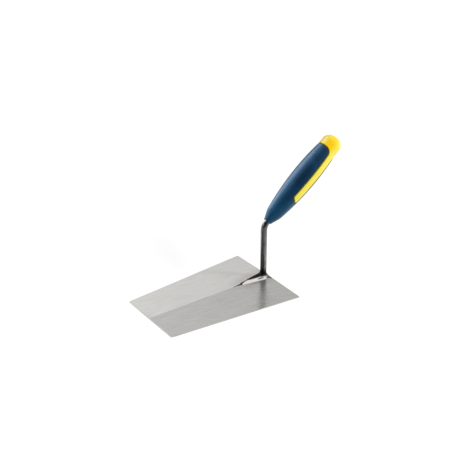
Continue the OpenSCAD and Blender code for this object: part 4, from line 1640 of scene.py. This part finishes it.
def build_stage(scene):
    """White floor, soft lamps and the camera."""
    stage = scene.trowel_stage
    half = stage.floor_w / 2
    corners = [(-half, -half, 0), (half, -half, 0), (half, half, 0), (-half, half, 0)]
    floor = bpy.data.meshes.new("floor")
    floor.from_pydata(corners, [], [(0, 1, 2, 3)])
    floor.materials.append(floor_white(stage))
    ground = bpy.data.objects.new("floor", floor)
    ground.location.z = -stage.floor_gap
    scene.collection.objects.link(ground)
    studio_world(scene, stage)
    key = soft_lamp(scene, "key_lamp", KEY_PLACE, MIDDLE, stage.key_power, *KEY_SIZE)
    top = soft_lamp(scene, "top_lamp", TOP_PLACE, MIDDLE, stage.top_power, *TOP_SIZE)
    for lamp in (key, top):
        lamp.visible_glossy = False
    glossy = bpy.data.collections.new("lit_by_gleam")
    for name in ("shank_bar", "handle_yellow_core", "grip_soft_sleeve"):
        if name in scene.objects:
            glossy.objects.link(scene.objects[name])
    gleam = soft_lamp(scene, "gleam_lamp", GLEAM_PLACE, GRIP, stage.gleam_power, *GLEAM_SIZE)
    crown = soft_lamp(scene, "crown_lamp", TOP_PLACE, MIDDLE, stage.top_power, *TOP_SIZE)
    side = soft_lamp(scene, "side_lamp", SIDE_PLACE, CRANK, stage.side_power, *SIDE_SIZE)
    for lamp in (gleam, crown, side):
        lamp.visible_diffuse = False
        lamp.light_linking.receiver_collection = glossy
    back = view_back(stage)
    right = Vector((math.cos(stage.azimuth), math.sin(stage.azimuth), 0))
    lens = bpy.data.cameras.new("camera")
    lens.lens = lens.sensor_width * stage.lens_share
    camera = bpy.data.objects.new("camera", lens)
    camera.location = back * stage.distance + right * stage.slide_right + back.cross(right) * stage.slide_up
    camera.rotation_euler = (-back).to_track_quat("-Z", "Y").to_euler()
    scene.collection.objects.link(camera)
    scene.camera = camera
    scene.view_settings.view_transform = "Standard"


class TROWEL_OT_blade(bpy.types.Operator):
    """Build the ground blade"""

    bl_idname = "trowel.blade"
    bl_label = "Blade"

    def execute(self, context):
        """Builds it in the current scene."""
        build_blade(context.scene)
        return {"FINISHED"}


class TROWEL_OT_shank(bpy.types.Operator):
    """Build the cranked bar with its foot and tang"""

    bl_idname = "trowel.shank"
    bl_label = "Shank"

    def execute(self, context):
        """Builds it in the current scene."""
        build_shank(context.scene)
        return {"FINISHED"}


class TROWEL_OT_weld(bpy.types.Operator):
    """Build the weld that joins foot and blade"""

    bl_idname = "trowel.weld"
    bl_label = "Weld"

    def execute(self, context):
        """Builds it in the current scene."""
        build_weld(context.scene)
        return {"FINISHED"}


class TROWEL_OT_core(bpy.types.Operator):
    """Build the handle's yellow core"""

    bl_idname = "trowel.core"
    bl_label = "Handle core"

    def execute(self, context):
        """Builds it in the current scene."""
        build_core(context.scene)
        return {"FINISHED"}


class TROWEL_OT_sleeve(bpy.types.Operator):
    """Build the soft sleeve over the core"""

    bl_idname = "trowel.sleeve"
    bl_label = "Grip sleeve"

    def execute(self, context):
        """Builds it in the current scene."""
        build_sleeve(context.scene)
        return {"FINISHED"}


class TROWEL_OT_stage(bpy.types.Operator):
    """Set up the floor, the lights and the camera"""

    bl_idname = "trowel.stage"
    bl_label = "Stage"

    def execute(self, context):
        """Builds it in the current scene."""
        build_stage(context.scene)
        return {"FINISHED"}


OPERATORS = (
    TROWEL_OT_blade,
    TROWEL_OT_shank,
    TROWEL_OT_weld,
    TROWEL_OT_core,
    TROWEL_OT_sleeve,
    TROWEL_OT_stage,
)


class TROWEL_PT_panel(bpy.types.Panel):
    """Lists the pieces and the sizes that build them"""

    bl_idname = "TROWEL_PT_panel"
    bl_label = "Brick Trowel"
    bl_space_type = "VIEW_3D"
    bl_region_type = "UI"
    bl_category = "Trowel"

    def draw(self, context):
        """Lays out a button for each operator and a box for each group of settings."""
        for operator in OPERATORS:
            self.layout.operator(operator.bl_idname)
        for name, group in SETTINGS.items():
            box = self.layout.box()
            for key in group.__annotations__:
                box.prop(getattr(context.scene, name), key)


def register():
    """Adds the settings, the operators and the panel to Blender."""
    for group in SETTINGS.values():
        bpy.utils.register_class(group)
    for name, group in SETTINGS.items():
        setattr(bpy.types.Scene, name, PointerProperty(type=group))
    for operator in OPERATORS:
        bpy.utils.register_class(operator)
    bpy.utils.register_class(TROWEL_PT_panel)


def unregister():
    """Takes them out again."""
    bpy.utils.unregister_class(TROWEL_PT_panel)
    for operator in reversed(OPERATORS):
        bpy.utils.unregister_class(operator)
    for name in SETTINGS:
        delattr(bpy.types.Scene, name)
    for group in SETTINGS.values():
        bpy.utils.unregister_class(group)


def main():
    """Builds every piece and the stage."""
    register()
    bpy.ops.trowel.blade()
    bpy.ops.trowel.shank()
    bpy.ops.trowel.weld()
    bpy.ops.trowel.core()
    bpy.ops.trowel.sleeve()
    bpy.ops.trowel.stage()


if __name__ == "__main__":
    main()
